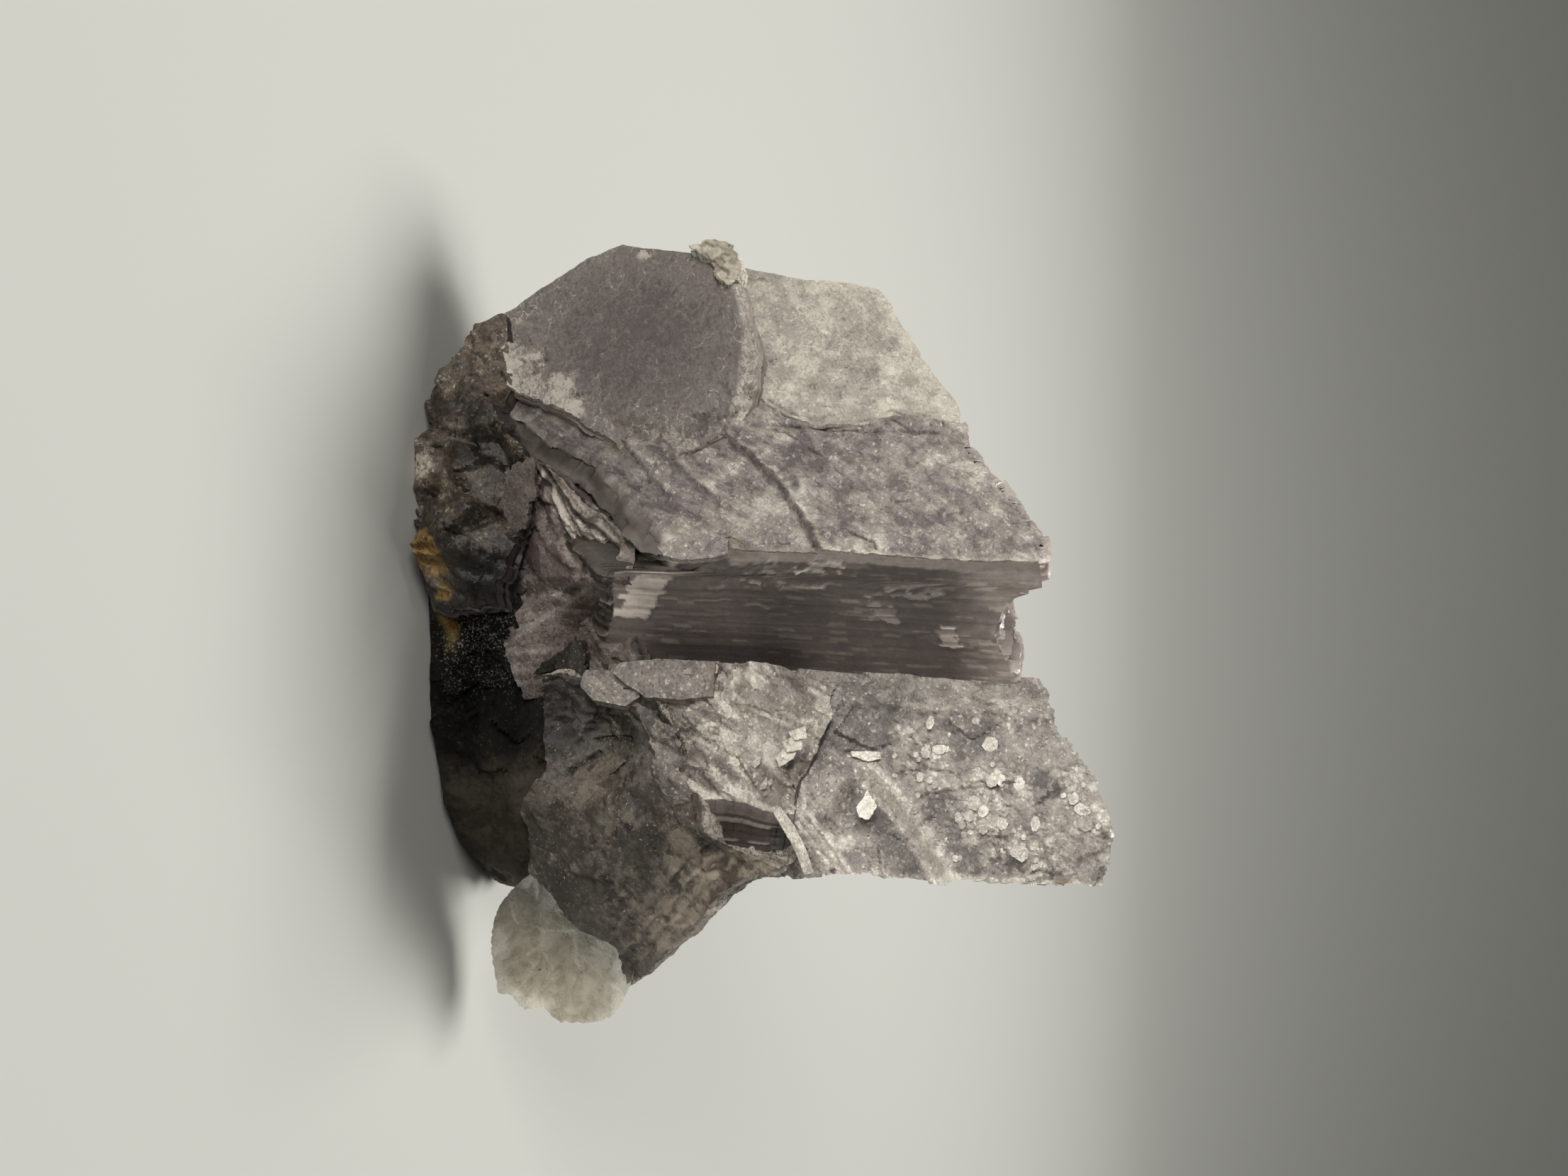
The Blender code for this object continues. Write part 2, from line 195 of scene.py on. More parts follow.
class Sheet:
    """The height and paint over one face, built up feature by feature."""

    def __init__(self, a, b, seed, pearl=0.5, shade=1.0):
        self.a, self.b, self.seed = a, b, seed
        self.h = np.zeros(a.shape)
        self.pearl = np.full(a.shape, float(pearl))
        self.shade = np.full(a.shape, float(shade))
        self.stain = np.zeros(a.shape)

    def swell(self, height, rate, pearl=0.0, octaves=3, seed=0):
        """Rises and falls of that height, about one to every 1 / rate mm, with paint to match."""
        wave = fbm(self.a * rate, self.b * rate, 0.0, self.seed + 101 + seed, octaves)
        self.h += height * wave
        self.pearl += pearl * wave

    def strokes(self, degrees, height, rate, pearl, stretch=7.0, seed=0, where=1.0):
        """Fibres along a direction: noise drawn out along it."""
        u, v = turned(self.a, self.b, degrees)
        wave = fbm(u * rate / stretch, v * rate, 0.0, self.seed + 131 + seed, 4, 0.6)
        self.h += height * wave * where
        self.pearl += pearl * wave * where

    def broken(self, pitch, step, tilt, pearl=0.0, dark=0.0, long=1.0, lean=0.0, seed=0, where=1.0):
        """Facets with straight bevelled borders, each higher or lower by up to step, sloping up to tilt."""
        u, v = turned(self.a, self.b, lean)
        dx, dy, pick, edge = facets(u / (pitch * long), v / pitch, self.seed + 231 + seed)
        slope = (pick[1] - 0.5) * dx * long + (pick[2] - 0.5) * dy
        rise = step * (2 * pick[0] - 1) + 2 * tilt * pitch * slope
        self.h += where * ease(0.0, 0.22, edge) * rise
        self.pearl += where * pearl * (2 * pick[3] - 1)
        self.shade *= 1 - where * dark * hump(edge * pitch, 0.16)

    def scaled(self, pitch, share, thick, pearl, tilt=0.10, long=1.0, lean=0.0, seed=0, crack=0.0):
        """A covering of broken scales, each a little paler or darker, with dark borders."""
        top, rank, inner = scales(self.a, self.b, pitch, self.seed + 151 + seed, share, thick, tilt, long,
                                  lean)
        self.h += top
        on = rank > 0
        self.pearl += np.where(on, pearl * (rank * 1.6 - 0.35), 0.0)
        if crack:
            self.shade *= 1.0 - crack * on * (1 - ease(0.0, 0.22 / pitch, inner))

    def drop(self, line, depth, width, shade, rag=0.3, seed=0, fade=0.08, lip=0.0):
        """A step down on the left side of a line, with an uneven pale lip above it. The riser's colour is
        multiplied by shade: below 1 this is painted shade on the riser, above 1 painted light.
        """
        d, t = along(line, self.a, self.b)
        d = d + rag * fbm(self.a * 0.8, self.b * 0.8, 0.0, self.seed + 171 + seed, 4, 0.6)
        ends = ease(0.0, fade, t) * ease(0.0, fade, 1 - t)
        self.h -= depth * ease(-width / 2, width / 2, d) * ends
        riser = ease(-width / 2 - 0.10, -width / 2 + 0.08, d) * ease(width / 2 + 0.22, width / 2 - 0.02, d)
        # painted shade on the riser, painted light where shade is above 1
        self.shade *= 1.0 - (1.0 - shade) * riser * ends
        self.pearl *= 1 - 0.6 * riser * ends
        broken = ease(-0.25, 0.25, noise(self.a * 2.2, self.b * 2.2, 0.0, self.seed + 181 + seed))
        self.pearl += lip * hump(d + width / 2 + 0.22, 0.24) * ends * (0.35 + 0.65 * broken)
        return d, ends

    def crack(self, line, width=0.10, depth=0.15, shade=0.35, rag=0.15):
        """A thin dark line cut into the face."""
        d, t = along(line, self.a, self.b)
        d = d + rag * fbm(self.a * 1.1, self.b * 1.1, 0.0, self.seed + 191, 4, 0.6)
        ends = ease(0.0, 0.1, t) * ease(0.0, 0.1, 1 - t)
        cut = hump(d, width) * ends
        self.h -= depth * cut
        self.shade *= 1.0 - (1.0 - shade) * cut

    def dab(self, at, radius, pearl=0.0, shade=1.0, stain=0.0, height=0.0, ragged=0.4, seed=0):
        """A patch of paint, or of height, with an uneven rim."""
        inside = spot(self.a, self.b, at, radius, ragged, self.seed + 211 + seed)
        self.pearl += pearl * inside
        self.shade *= 1.0 + (shade - 1.0) * inside
        self.stain = np.maximum(self.stain, stain * inside)
        self.h += height * inside
        return inside


# ---------------------------------------------------------------- planes and meshes

class Face:
    """A plane in space: a point on it, how far it turns to the left and leans back, and its spin."""

    def __init__(self, at, turn, lean, spin=0.0):
        turn, lean, spin = radians(turn), radians(lean), radians(spin)
        right = np.array([cos(turn), -sin(turn), 0.0])
        self.out = np.array([-sin(turn) * cos(lean), -cos(turn) * cos(lean), sin(lean)])
        up = np.cross(self.out, right)
        self.right = cos(spin) * right + sin(spin) * up
        self.up = cos(spin) * up - sin(spin) * right
        self.at = np.array(at, float)

    def place(self, a, b, c):
        """The point at, plus a to the right, b up and c out."""
        a, b, c = (np.asarray(v, float)[..., None] for v in (a, b, c))
        return self.at + a * self.right + b * self.up + c * self.out


class Pile:
    """Vertices, faces and painted values gathered from several shapes, made into one mesh."""

    NAMES = ("shade", "pearl", "wall", "stain")

    def __init__(self):
        self.points, self.spots, self.paint = [], [], []
        self.quads, self.triangles = [], []
        self.count = 0

    def add(self, points, quads=(), triangles=(), spots=None, shade=1.0, pearl=0.5, wall=0.0, stain=0.0):
        points = np.asarray(points, float).reshape(-1, 3)
        if len(quads):
            self.quads.append(np.asarray(quads).reshape(-1, 4) + self.count)
        if len(triangles):
            self.triangles.append(np.asarray(triangles).reshape(-1, 3) + self.count)
        self.points.append(points)
        self.spots.append(points if spots is None else np.asarray(spots, float).reshape(-1, 3))
        rows = [np.broadcast_to(np.asarray(v, float).ravel(), len(points))
                for v in (shade, pearl, wall, stain)]
        self.paint.append(np.stack(rows, 1))
        self.count += len(points)

    def mesh(self, name, sharp=35.0):
        """One mesh object at the origin: points in metres, smooth but for edges over sharp."""
        points = (np.concatenate(self.points) + MIDDLE) * MM
        loops, sizes = [], []
        for group, size in ((self.quads, 4), (self.triangles, 3)):
            if group:
                joined = np.concatenate(group)
                loops.append(joined.ravel())
                sizes.append(np.full(len(joined), size))
        loops, sizes = np.concatenate(loops), np.concatenate(sizes)
        mesh = bpy.data.meshes.new(name)
        mesh.vertices.add(len(points))
        mesh.vertices.foreach_set("co", points.ravel())
        mesh.loops.add(len(loops))
        mesh.loops.foreach_set("vertex_index", loops.astype(np.int32))
        mesh.polygons.add(len(sizes))
        mesh.polygons.foreach_set("loop_start", (np.cumsum(sizes) - sizes).astype(np.int32))
        mesh.polygons.foreach_set("loop_total", sizes.astype(np.int32))
        mesh.update(calc_edges=True)
        mesh.polygons.foreach_set("use_smooth", np.ones(len(sizes), bool))
        mesh.set_sharp_from_angle(angle=radians(sharp))
        layer = mesh.attributes.new("leafwise", "FLOAT_VECTOR", "POINT")
        layer.data.foreach_set("vector", np.concatenate(self.spots).ravel())
        for name_of, column in zip(self.NAMES, np.concatenate(self.paint).T):
            layer = mesh.attributes.new(name_of, "FLOAT", "POINT")
            layer.data.foreach_set("value", np.ascontiguousarray(column))
        made = bpy.data.objects.new(name, mesh)
        bpy.context.scene.collection.objects.link(made)
        return made


def resample(points, count):
    """count points spread evenly along the broken line through points."""
    points = np.asarray(points, float)
    reach = np.concatenate([[0.0], np.cumsum(np.hypot(*(points[1:] - points[:-1]).T))])
    where = np.linspace(0.0, reach[-1], count)
    return np.stack([np.interp(where, reach, points[:, k]) for k in (0, 1)], 1), where


def jagged(where, seed, size=1.0):
    """Small square-cut steps along an edge: a random height for each uneven stretch of it,
    at two sizes of stretch, fading out at both ends."""
    bent = where / size + 0.45 * noise(where / size * 1.7, 0.0, 0.0, seed)
    coarse = lattice(np.floor(bent), 0, 0, seed) - 0.5
    small = lattice(np.floor(bent * 3.1), 1, 0, seed) - 0.5
    fade = np.minimum(ease(0.0, 1.0, where), ease(0.0, 1.0, where[-1] - where))
    return (coarse + 0.5 * small) * fade


def rough_side(points, count, seed, amount, size=1.0):
    """A side of an outline: even points, each pushed across the line by jagged steps."""
    line, where = resample(points, count)
    run = np.gradient(line, axis=0)
    run /= np.maximum(np.hypot(*run.T), 1e-9)[:, None]
    across = np.stack([run[:, 1], -run[:, 0]], 1)
    return line + across * (amount * jagged(where, seed, size))[:, None]


def coons(bottom, right, top, left):
    """Fills four sides: the blend of bottom and top, plus the blend of left and right, less
    the blend of the four corners."""
    u = np.linspace(0, 1, len(bottom))[None, :, None]
    v = np.linspace(0, 1, len(left))[:, None, None]
    rows = (1 - v) * bottom[None] + v * top[None]
    columns = (1 - u) * left[:, None] + u * right[:, None]
    corners = ((1 - u) * (1 - v) * bottom[0] + u * (1 - v) * bottom[-1]
               + (1 - u) * v * top[0] + u * v * top[-1])
    return rows + columns - corners


def rim_of(grid):
    """The border of a grid, anticlockwise from its lower left corner."""
    return np.concatenate([grid[0, :], grid[1:, -1], grid[-1, -2::-1], grid[-2:0:-1, 0]])


def outward(loop):
    """Unit vectors across a closed anticlockwise loop, pointing out of it."""
    run = np.roll(loop, -1, 0) - np.roll(loop, 1, 0)
    run /= np.maximum(np.hypot(*run.T), 1e-9)[:, None]
    return np.stack([run[:, 1], -run[:, 0]], 1)


def leaf_of(depth, seed, low=0.2, high=0.75, reach=40.0):
    """The number of the leaf that each depth falls in, with leaves of uneven thickness."""
    count = int(reach / low)
    edges = np.cumsum(low + (high - low) * lattice(np.arange(count), 7, 0, seed))
    return np.searchsorted(edges, depth)


def rear_sheet(a, b, seed):
    """The unseen back of a book: swells, broken scales and fibres."""
    sheet = Sheet(a, b, seed, 0.45, 0.9)
    sheet.swell(0.9, 0.16, 0.2)
    sheet.scaled(4.5, 0.9, 0.5, 0.3, 0.2, crack=0.3)
    sheet.scaled(1.6, 0.6, 0.15, 0.3, crack=0.3)
    sheet.strokes(60, 0.05, 2.0, 0.2)
    return sheet


def book(pile, face, keys, spacing, seed, front, wall, rag=0.3, rag_size=1.0, deep=1.0,
         leaves=(0.2, 0.75)):
    """A book of leaves as a closed block. keys holds (depth, sides) pairs, front to back, with
    the sides (bottom, right, top, left) as broken lines; between them the outline is blended.
    The front is a Coons patch raised and painted by the Sheet front(a, b). Each wall loop lies at
    one depth, pushed out and painted by wall(leaf, depth, length along the loop, side from 0 at the
    bottom to 3 at the left, a, b), which gives push, shade, pearl and stain. The back is a Coons
    patch too."""
    spacing = spacing * FINE
    lengths = [resample(side, 2)[1][-1] for side in keys[0][1]]
    nx = int(max(lengths[0], lengths[2]) / spacing) + 2
    ny = int(max(lengths[1], lengths[3]) / spacing) + 2
    outlines = []
    rags = rag if isinstance(rag, tuple) else (rag,) * 4
    for depth, sides in keys:
        lines = [rough_side(side, n, seed + k, rags[k], rag_size)
                 for k, (side, n) in enumerate(zip(sides, (nx, ny, nx, ny)))]
        outlines.append((depth, lines))
    deepest = keys[-1][0]
    depths = np.linspace(0.0, deepest, max(3, int(deepest / (spacing * deep)) + 1))

    def sides_at(depth):
        for (d0, s0), (d1, s1) in zip(outlines[:-1], outlines[1:]):
            if depth <= d1 + 1e-9:
                t = (depth - d0) / (d1 - d0)
                return [(1 - t) * p + t * q for p, q in zip(s0, s1)]
        return outlines[-1][1]

    side = np.repeat([0, 1, 2, 3], [nx, ny - 1, nx - 1, ny - 2])
    grid = coons(*outlines[0][1])
    sheet = front(grid[..., 0], grid[..., 1])
    loop_height = rim_of(sheet.h)
    loops = []
    for depth in depths:
        loop = rim_of(coons(*sides_at(depth)))
        step = np.hypot(*(np.roll(loop, -1, 0) - loop).T)
        length = np.concatenate([[0.0], np.cumsum(step)[:-1]])
        marks = wall(leaf_of(depth, seed, *leaves), depth, length, side, loop[:, 0], loop[:, 1])
        push = marks[0] * float(ease(0.0, 0.25, depth))
        level = loop_height * (1 - depth / deepest) - depth
        loops.append((loop + outward(loop) * push[:, None], level, marks))
    bottom, right, top, left = np.split(loops[-1][0], np.cumsum([nx, ny - 1, nx - 1]))
    right = np.concatenate([bottom[-1:], right])
    top = np.concatenate([right[-1:], top])[::-1]
    left = np.concatenate([bottom[:1], left[::-1], top[:1]])
    back = coons(bottom, right, top, left)
    behind = rear_sheet(back[..., 0], back[..., 1], seed + 900)
    row, column = np.ogrid[:ny, :nx]
    inset = np.minimum(np.minimum(row, ny - 1 - row), np.minimum(column, nx - 1 - column))
    back_height = -deepest - behind.h * ease(0.0, 4.0, inset)

    def put(plane, level, on_wall, shade, pearl, stain):
        local = np.stack(np.broadcast_arrays(plane[..., 0], plane[..., 1], level), -1).reshape(-1, 3)
        pile.add(face.place(local[:, 0], local[:, 1], local[:, 2]), spots=local + seed,
                 shade=shade, pearl=pearl, wall=on_wall, stain=stain)

    start = pile.count
    put(grid, sheet.h, 0.0, sheet.shade, sheet.pearl, sheet.stain)
    ids = np.arange(nx * ny).reshape(ny, nx)
    rings = [rim_of(ids)]
    for loop, level, marks in loops[1:-1]:
        rings.append(np.arange(len(loop)) + pile.count - start)
        put(loop, level, 1.0, *marks[1:])
    last = ids + pile.count - start
    put(back, back_height, 0.0, behind.shade, behind.pearl, behind.stain)
    rings.append(rim_of(last))
    quads = [np.stack([ids[:-1, :-1], ids[:-1, 1:], ids[1:, 1:], ids[1:, :-1]], -1).reshape(-1, 4),
             np.stack([last[:-1, :-1], last[1:, :-1], last[1:, 1:], last[:-1, 1:]], -1).reshape(-1, 4)]
    for upper, lower in zip(rings[:-1], rings[1:]):
        quads.append(np.stack([upper, lower, np.roll(lower, -1), np.roll(upper, -1)], -1))
    pile.quads.append(np.concatenate(quads) + start)


def plate(pile, face, outline, thickness, front, seed, rag=0.10, spacing=0.25, lift=0.0, wall_shade=1.0,
          thin_rim=0.6):
    """One leaf as a closed plate on a polar grid round the outline's middle. The outline is a
    closed broken line; front(a, b) raises and paints it. The underside lies one thickness below,
    and the plate thins towards its rim."""
    outline = np.asarray(outline, float)
    middle = outline.mean(0)
    closed = np.concatenate([outline, outline[:1]])
    length = np.hypot(*(closed[1:] - closed[:-1]).T).sum()
    spokes = max(24, int(length / (spacing * FINE)))
    rim, where = resample(closed, spokes + 1)
    rim = rim[:-1]
    away = rim - middle
    away /= np.maximum(np.hypot(*away.T), 1e-6)[:, None]
    teeth = rag * (jagged(where, seed, 1.1)[:-1] + 0.4 * jagged(where, seed + 1, 0.35)[:-1])
    rim = rim + away * teeth[:, None]
    rings = max(5, int(np.hypot(*(rim - middle).T).max() / (spacing * FINE)))
    reach = (np.arange(1, rings + 1) / rings)[:, None]
    a = middle[0] + reach * (rim[:, 0] - middle[0])
    b = middle[1] + reach * (rim[:, 1] - middle[1])
    a = np.concatenate([[middle[0]], a.ravel()])
    b = np.concatenate([[middle[1]], b.ravel()])
    sheet = front(a, b)
    edge = np.concatenate([[0.0], np.repeat(reach.ravel(), spokes)])
    thick = thickness * (1 - thin_rim * ease(0.8, 1.0, edge))
    top = sheet.h + lift
    local = np.stack([np.tile(a, 2), np.tile(b, 2), np.concatenate([top, top - thick])], -1)
    n = rings * spokes
    ids = 1 + np.arange(n).reshape(rings, spokes)
    following = np.roll(ids, -1, 1)
    upper = np.stack([ids[:-1], ids[1:], following[1:], following[:-1]], -1).reshape(-1, 4)
    side = np.stack([ids[-1], ids[-1] + n + 1, following[-1] + n + 1, following[-1]], -1)
    fan = np.stack([np.zeros(spokes, int), ids[0], following[0]], -1)
    under = np.stack([np.full(spokes, n + 1), following[0] + n + 1, ids[0] + n + 1], -1)
    pile.add(face.place(local[:, 0], local[:, 1], local[:, 2]),
             np.concatenate([upper, upper[:, ::-1] + n + 1, side]), np.concatenate([fan, under]),
             spots=local + seed, shade=np.concatenate([sheet.shade, sheet.shade * wall_shade]),
             pearl=np.concatenate([sheet.pearl, 0 * sheet.pearl + 0.5]), wall=0.0,
             stain=np.tile(sheet.stain, 2))


def scraps(pile, face, front, places, seed, lift=0.10, tilt=4.0, shade=1.1, pearl=1.0):
    """Many thin broken flakes lying on a face: for each (a, b, radius) in places, a convex
    seven-cornered one, tilted a little, with a thin underside."""
    corners, thickness = 7, 0.07
    rng = np.random.default_rng(seed)
    a0, b0, radius = np.asarray(places, float).T
    many = len(a0)
    turn = np.sort(rng.uniform(0, 2 * np.pi, (many, corners)), 1)
    spread = np.linspace(0, 2 * np.pi, corners, endpoint=False)
    turn = 0.35 * turn + 0.65 * (spread + rng.uniform(0, 6, (many, 1)))
    stretch = rng.uniform(0.55, 1.0, (many, 1))
    da, db = radius[:, None] * np.cos(turn), radius[:, None] * np.sin(turn) * stretch
    slope = np.tan(np.radians(rng.normal(0, tilt, (2, many, 1))))
    base = front(a0, b0).h[:, None] + lift + rng.uniform(0, lift, (many, 1))
    rim = base + slope[0] * da + slope[1] * db
    a = np.concatenate([a0[:, None], a0[:, None] + da] * 2, 1)
    b = np.concatenate([b0[:, None], b0[:, None] + db] * 2, 1)
    c = np.concatenate([base, rim, base - thickness, rim - thickness], 1)
    k = corners + 1
    ring = np.arange(corners)
    after = (ring + 1) % corners
    fan = np.stack([0 * ring, 1 + ring, 1 + after], -1)
    under = np.stack([0 * ring + k, k + 1 + after, k + 1 + ring], -1)
    side = np.stack([1 + ring, k + 1 + ring, k + 1 + after, 1 + after], -1)
    shift = (np.arange(many) * 2 * k)[:, None, None]
    local = np.stack([a, b, c], -1).reshape(-1, 3)
    tint = np.repeat(rng.uniform(0.80, 1.12, many), 2 * k)
    pile.add(face.place(local[:, 0], local[:, 1], local[:, 2]), (side[None] + shift).reshape(-1, 4),
             (np.concatenate([fan, under])[None] + shift).reshape(-1, 3), spots=local + seed,
             shade=shade * tint, pearl=pearl * tint, wall=0.0)


def clusters(seed, rows, size=(0.35, 1.0)):
    """Places for scraps: for each (a, b, spread, how many), points scattered as a bell."""
    rng = np.random.default_rng(seed)
    out = []
    for a, b, spread, count in rows:
        out.append(np.stack([rng.normal(a, spread, count), rng.normal(b, spread * 0.8, count),
                             size[0] + (size[1] - size[0]) * rng.uniform(0, 1, count) ** 2], 1))
    return np.concatenate(out)


def rock(pile, centre, planes, seed, paint, rows=150, rough=0.5, lumps=0.8, chips=0.6, soft=14.0):
    """A broken lump on a sphere grid. Along each direction the surface lies at the nearest of
    the facet planes (offset over the cosine, blended softly). Swells, grain and angular chips (scales
    seen along the three axes) then move it in or out. paint gives shade, pearl, stain at points."""
    rows = int(rows / FINE)
    columns = rows * 2
    rise = np.linspace(0, np.pi, rows + 1)[1:-1, None]
    turn = np.linspace(0, 2 * np.pi, columns, endpoint=False)[None]
    aim = np.stack([np.sin(rise) * np.cos(turn), np.sin(rise) * np.sin(turn), np.cos(rise) + 0 * turn], -1)
    aim = np.concatenate([[[0, 0, 1.0]], aim.reshape(-1, 3), [[0, 0, -1.0]]])
    normals = np.array([p[:3] for p in planes], float)
    normals /= np.linalg.norm(normals, axis=1)[:, None]
    offsets = np.array([p[3] for p in planes], float)
    facing = aim @ normals.T
    reach = np.where(facing > 0.02, offsets / np.maximum(facing, 0.02), 1e3)
    least = reach.min(1, keepdims=True)
    reach = least[:, 0] * (1 - np.log(np.exp(-soft * (reach / least - 1)).sum(1)) / soft)
    points = np.array(centre) + aim * reach[:, None]
    x, y, z = points.T
    push = (lumps * fbm(x * 0.13, y * 0.13, z * 0.13, seed, 3)
            + rough * fbm(x * 0.6, y * 0.6, z * 0.6, seed + 5, 4, 0.6))
    parts = [scales(p, q, 3.0, seed + k, 0.9, 1.0, 0.5)[0]
             for k, (p, q) in enumerate(((x, z), (y, z), (x, y)))]
    share = np.abs(aim[:, [1, 0, 2]]) ** 3
    push = push + chips * (np.stack(parts, 1) * share).sum(1) / share.sum(1)
    push = push * ease(-0.2, 1.2, z)
    points = points + aim * push[:, None]
    points[:, 2] = np.maximum(points[:, 2], CLEARANCE)
    n = (rows - 1) * columns
    ids = 1 + np.arange(n).reshape(rows - 1, columns)
    following = np.roll(ids, -1, 1)
    quads = np.stack([ids[:-1], ids[1:], following[1:], following[:-1]], -1).reshape(-1, 4)
    fan = np.stack([np.zeros(columns, int), ids[0], following[0]], -1)
    under = np.stack([np.full(columns, n + 1), following[-1], ids[-1]], -1)
    shade, pearl, stain, specks = paint(*points.T)
    pile.add(points, quads, np.concatenate([fan, under]), shade=shade, pearl=pearl, wall=specks,
             stain=stain)


# ---------------------------------------------------------------- materials

class Wire:
    """An output socket. Arithmetic on it adds Math nodes, with a number on either side."""

    def __init__(self, paint, socket):
        self.paint, self.socket = paint, socket

    def __add__(self, other):
        return self.paint.math("ADD", self, other)

    def __sub__(self, other):
        return self.paint.math("SUBTRACT", self, other)

    def __rsub__(self, other):
        return self.paint.math("SUBTRACT", other, self)

    def __mul__(self, other):
        return self.paint.math("MULTIPLY", self, other)

    __radd__ = __add__
    __rmul__ = __mul__


class Paint:
    """A Principled material under construction."""

    def __init__(self, name, **constants):
        self.material = bpy.data.materials.new(name)
        self.material.use_nodes = True
        self.tree = self.material.node_tree
        self.shader = self.tree.nodes["Principled BSDF"]
        for socket, value in constants.items():
            self.shader.inputs[socket.replace("_", " ")].default_value = value

    def node(self, kind, settings=None, inputs=None, output=0):
        """A node of that kind: its settings first, then numbers or wires into its sockets."""
        made = self.tree.nodes.new(kind)
        for key, value in (settings or {}).items():
            setattr(made, key, value)
        for key, value in (inputs or {}).items():
            if isinstance(value, Wire):
                self.tree.links.new(value.socket, made.inputs[key])
            else:
                made.inputs[key].default_value = value
        return Wire(self, made.outputs[output])

    def math(self, operation, *values):
        return self.node("ShaderNodeMath", {"operation": operation}, dict(enumerate(values)))

    def value(self, name):
        return self.node("ShaderNodeAttribute", {"attribute_name": name}, output=2)

    def vector(self, name):
        return self.node("ShaderNodeAttribute", {"attribute_name": name}, output=1)

    def stretched(self, vector, scale, turn=(0.0, 0.0, 0.0)):
        turned_first = self.node("ShaderNodeMapping", {},
                                 {"Vector": vector, "Rotation": tuple(radians(t) for t in turn)})
        return self.node("ShaderNodeMapping", {}, {"Vector": turned_first, "Scale": scale})

    def cloud(self, vector, scale, detail=4.0, rough=0.55, warp=0.0):
        return self.node("ShaderNodeTexNoise", {}, {"Vector": vector, "Scale": scale, "Detail": detail,
                                                    "Roughness": rough, "Distortion": warp})

    def chips(self, vector, scale, slope=0.0):
        """Broken cells: a random number for each, and a height that slopes its own way in each."""
        number = self.node("ShaderNodeTexVoronoi", {}, {"Vector": vector, "Scale": scale}, output=1)
        spot = Wire(self, number.socket.node.outputs["Position"])
        way = self.node("ShaderNodeVectorMath", {"operation": "SUBTRACT"}, {0: vector, 1: spot})
        tilt = self.node("ShaderNodeVectorMath", {"operation": "SUBTRACT"}, {0: number, 1: (0.5, 0.5, 0.5)})
        rise = self.node("ShaderNodeVectorMath", {"operation": "DOT_PRODUCT"}, {0: way, 1: tilt}, output=1)
        return self.node("ShaderNodeSeparateColor", {}, {"Color": number}), rise * slope

    def veins(self, vector, scale, width, warp=1.2):
        """1 on a net of thin wandering lines, 0 off it."""
        bend = self.node("ShaderNodeTexNoise", {}, {"Vector": vector, "Scale": scale * 1.6, "Detail": 4.0},
                         output=1)
        bend = self.node("ShaderNodeVectorMath", {"operation": "SCALE"}, {0: bend, "Scale": warp / scale})
        bent = self.node("ShaderNodeVectorMath", {"operation": "ADD"}, {0: vector, 1: bend})
        edge = self.node("ShaderNodeTexVoronoi", {"feature": "DISTANCE_TO_EDGE"},
                         {"Vector": bent, "Scale": scale})
        return self.between(edge, 0.0, width * scale, 1.0, 0.0)

    def between(self, wire, low, high, to_low=0.0, to_high=1.0):
        """wire carried from low..high to to_low..to_high, held at the ends."""
        return self.node("ShaderNodeMapRange", {"interpolation_type": "SMOOTHSTEP"},
                         {"Value": wire, 1: low, 2: high, 3: to_low, 4: to_high})

    def mix(self, factor, first, second):
        """Two colours, each a wire or three numbers."""
        first, second = (v if isinstance(v, Wire) else (*v, 1.0) for v in (first, second))
        return self.node("ShaderNodeMix", {"data_type": "RGBA", "blend_type": "MIX"},
                         {0: factor, 6: first, 7: second}, output=2)

    def scaled(self, colour, wire):
        """A colour times a number."""
        return self.node("ShaderNodeVectorMath", {"operation": "SCALE"}, {0: colour, "Scale": wire})

    def feed(self, socket, wire):
        self.tree.links.new(wire.socket, self.shader.inputs[socket])

    def bump(self, height):
        """Relief from a height in millimetres."""
        return self.node("ShaderNodeBump", {}, {"Strength": 1.0, "Distance": MM, "Height": height})


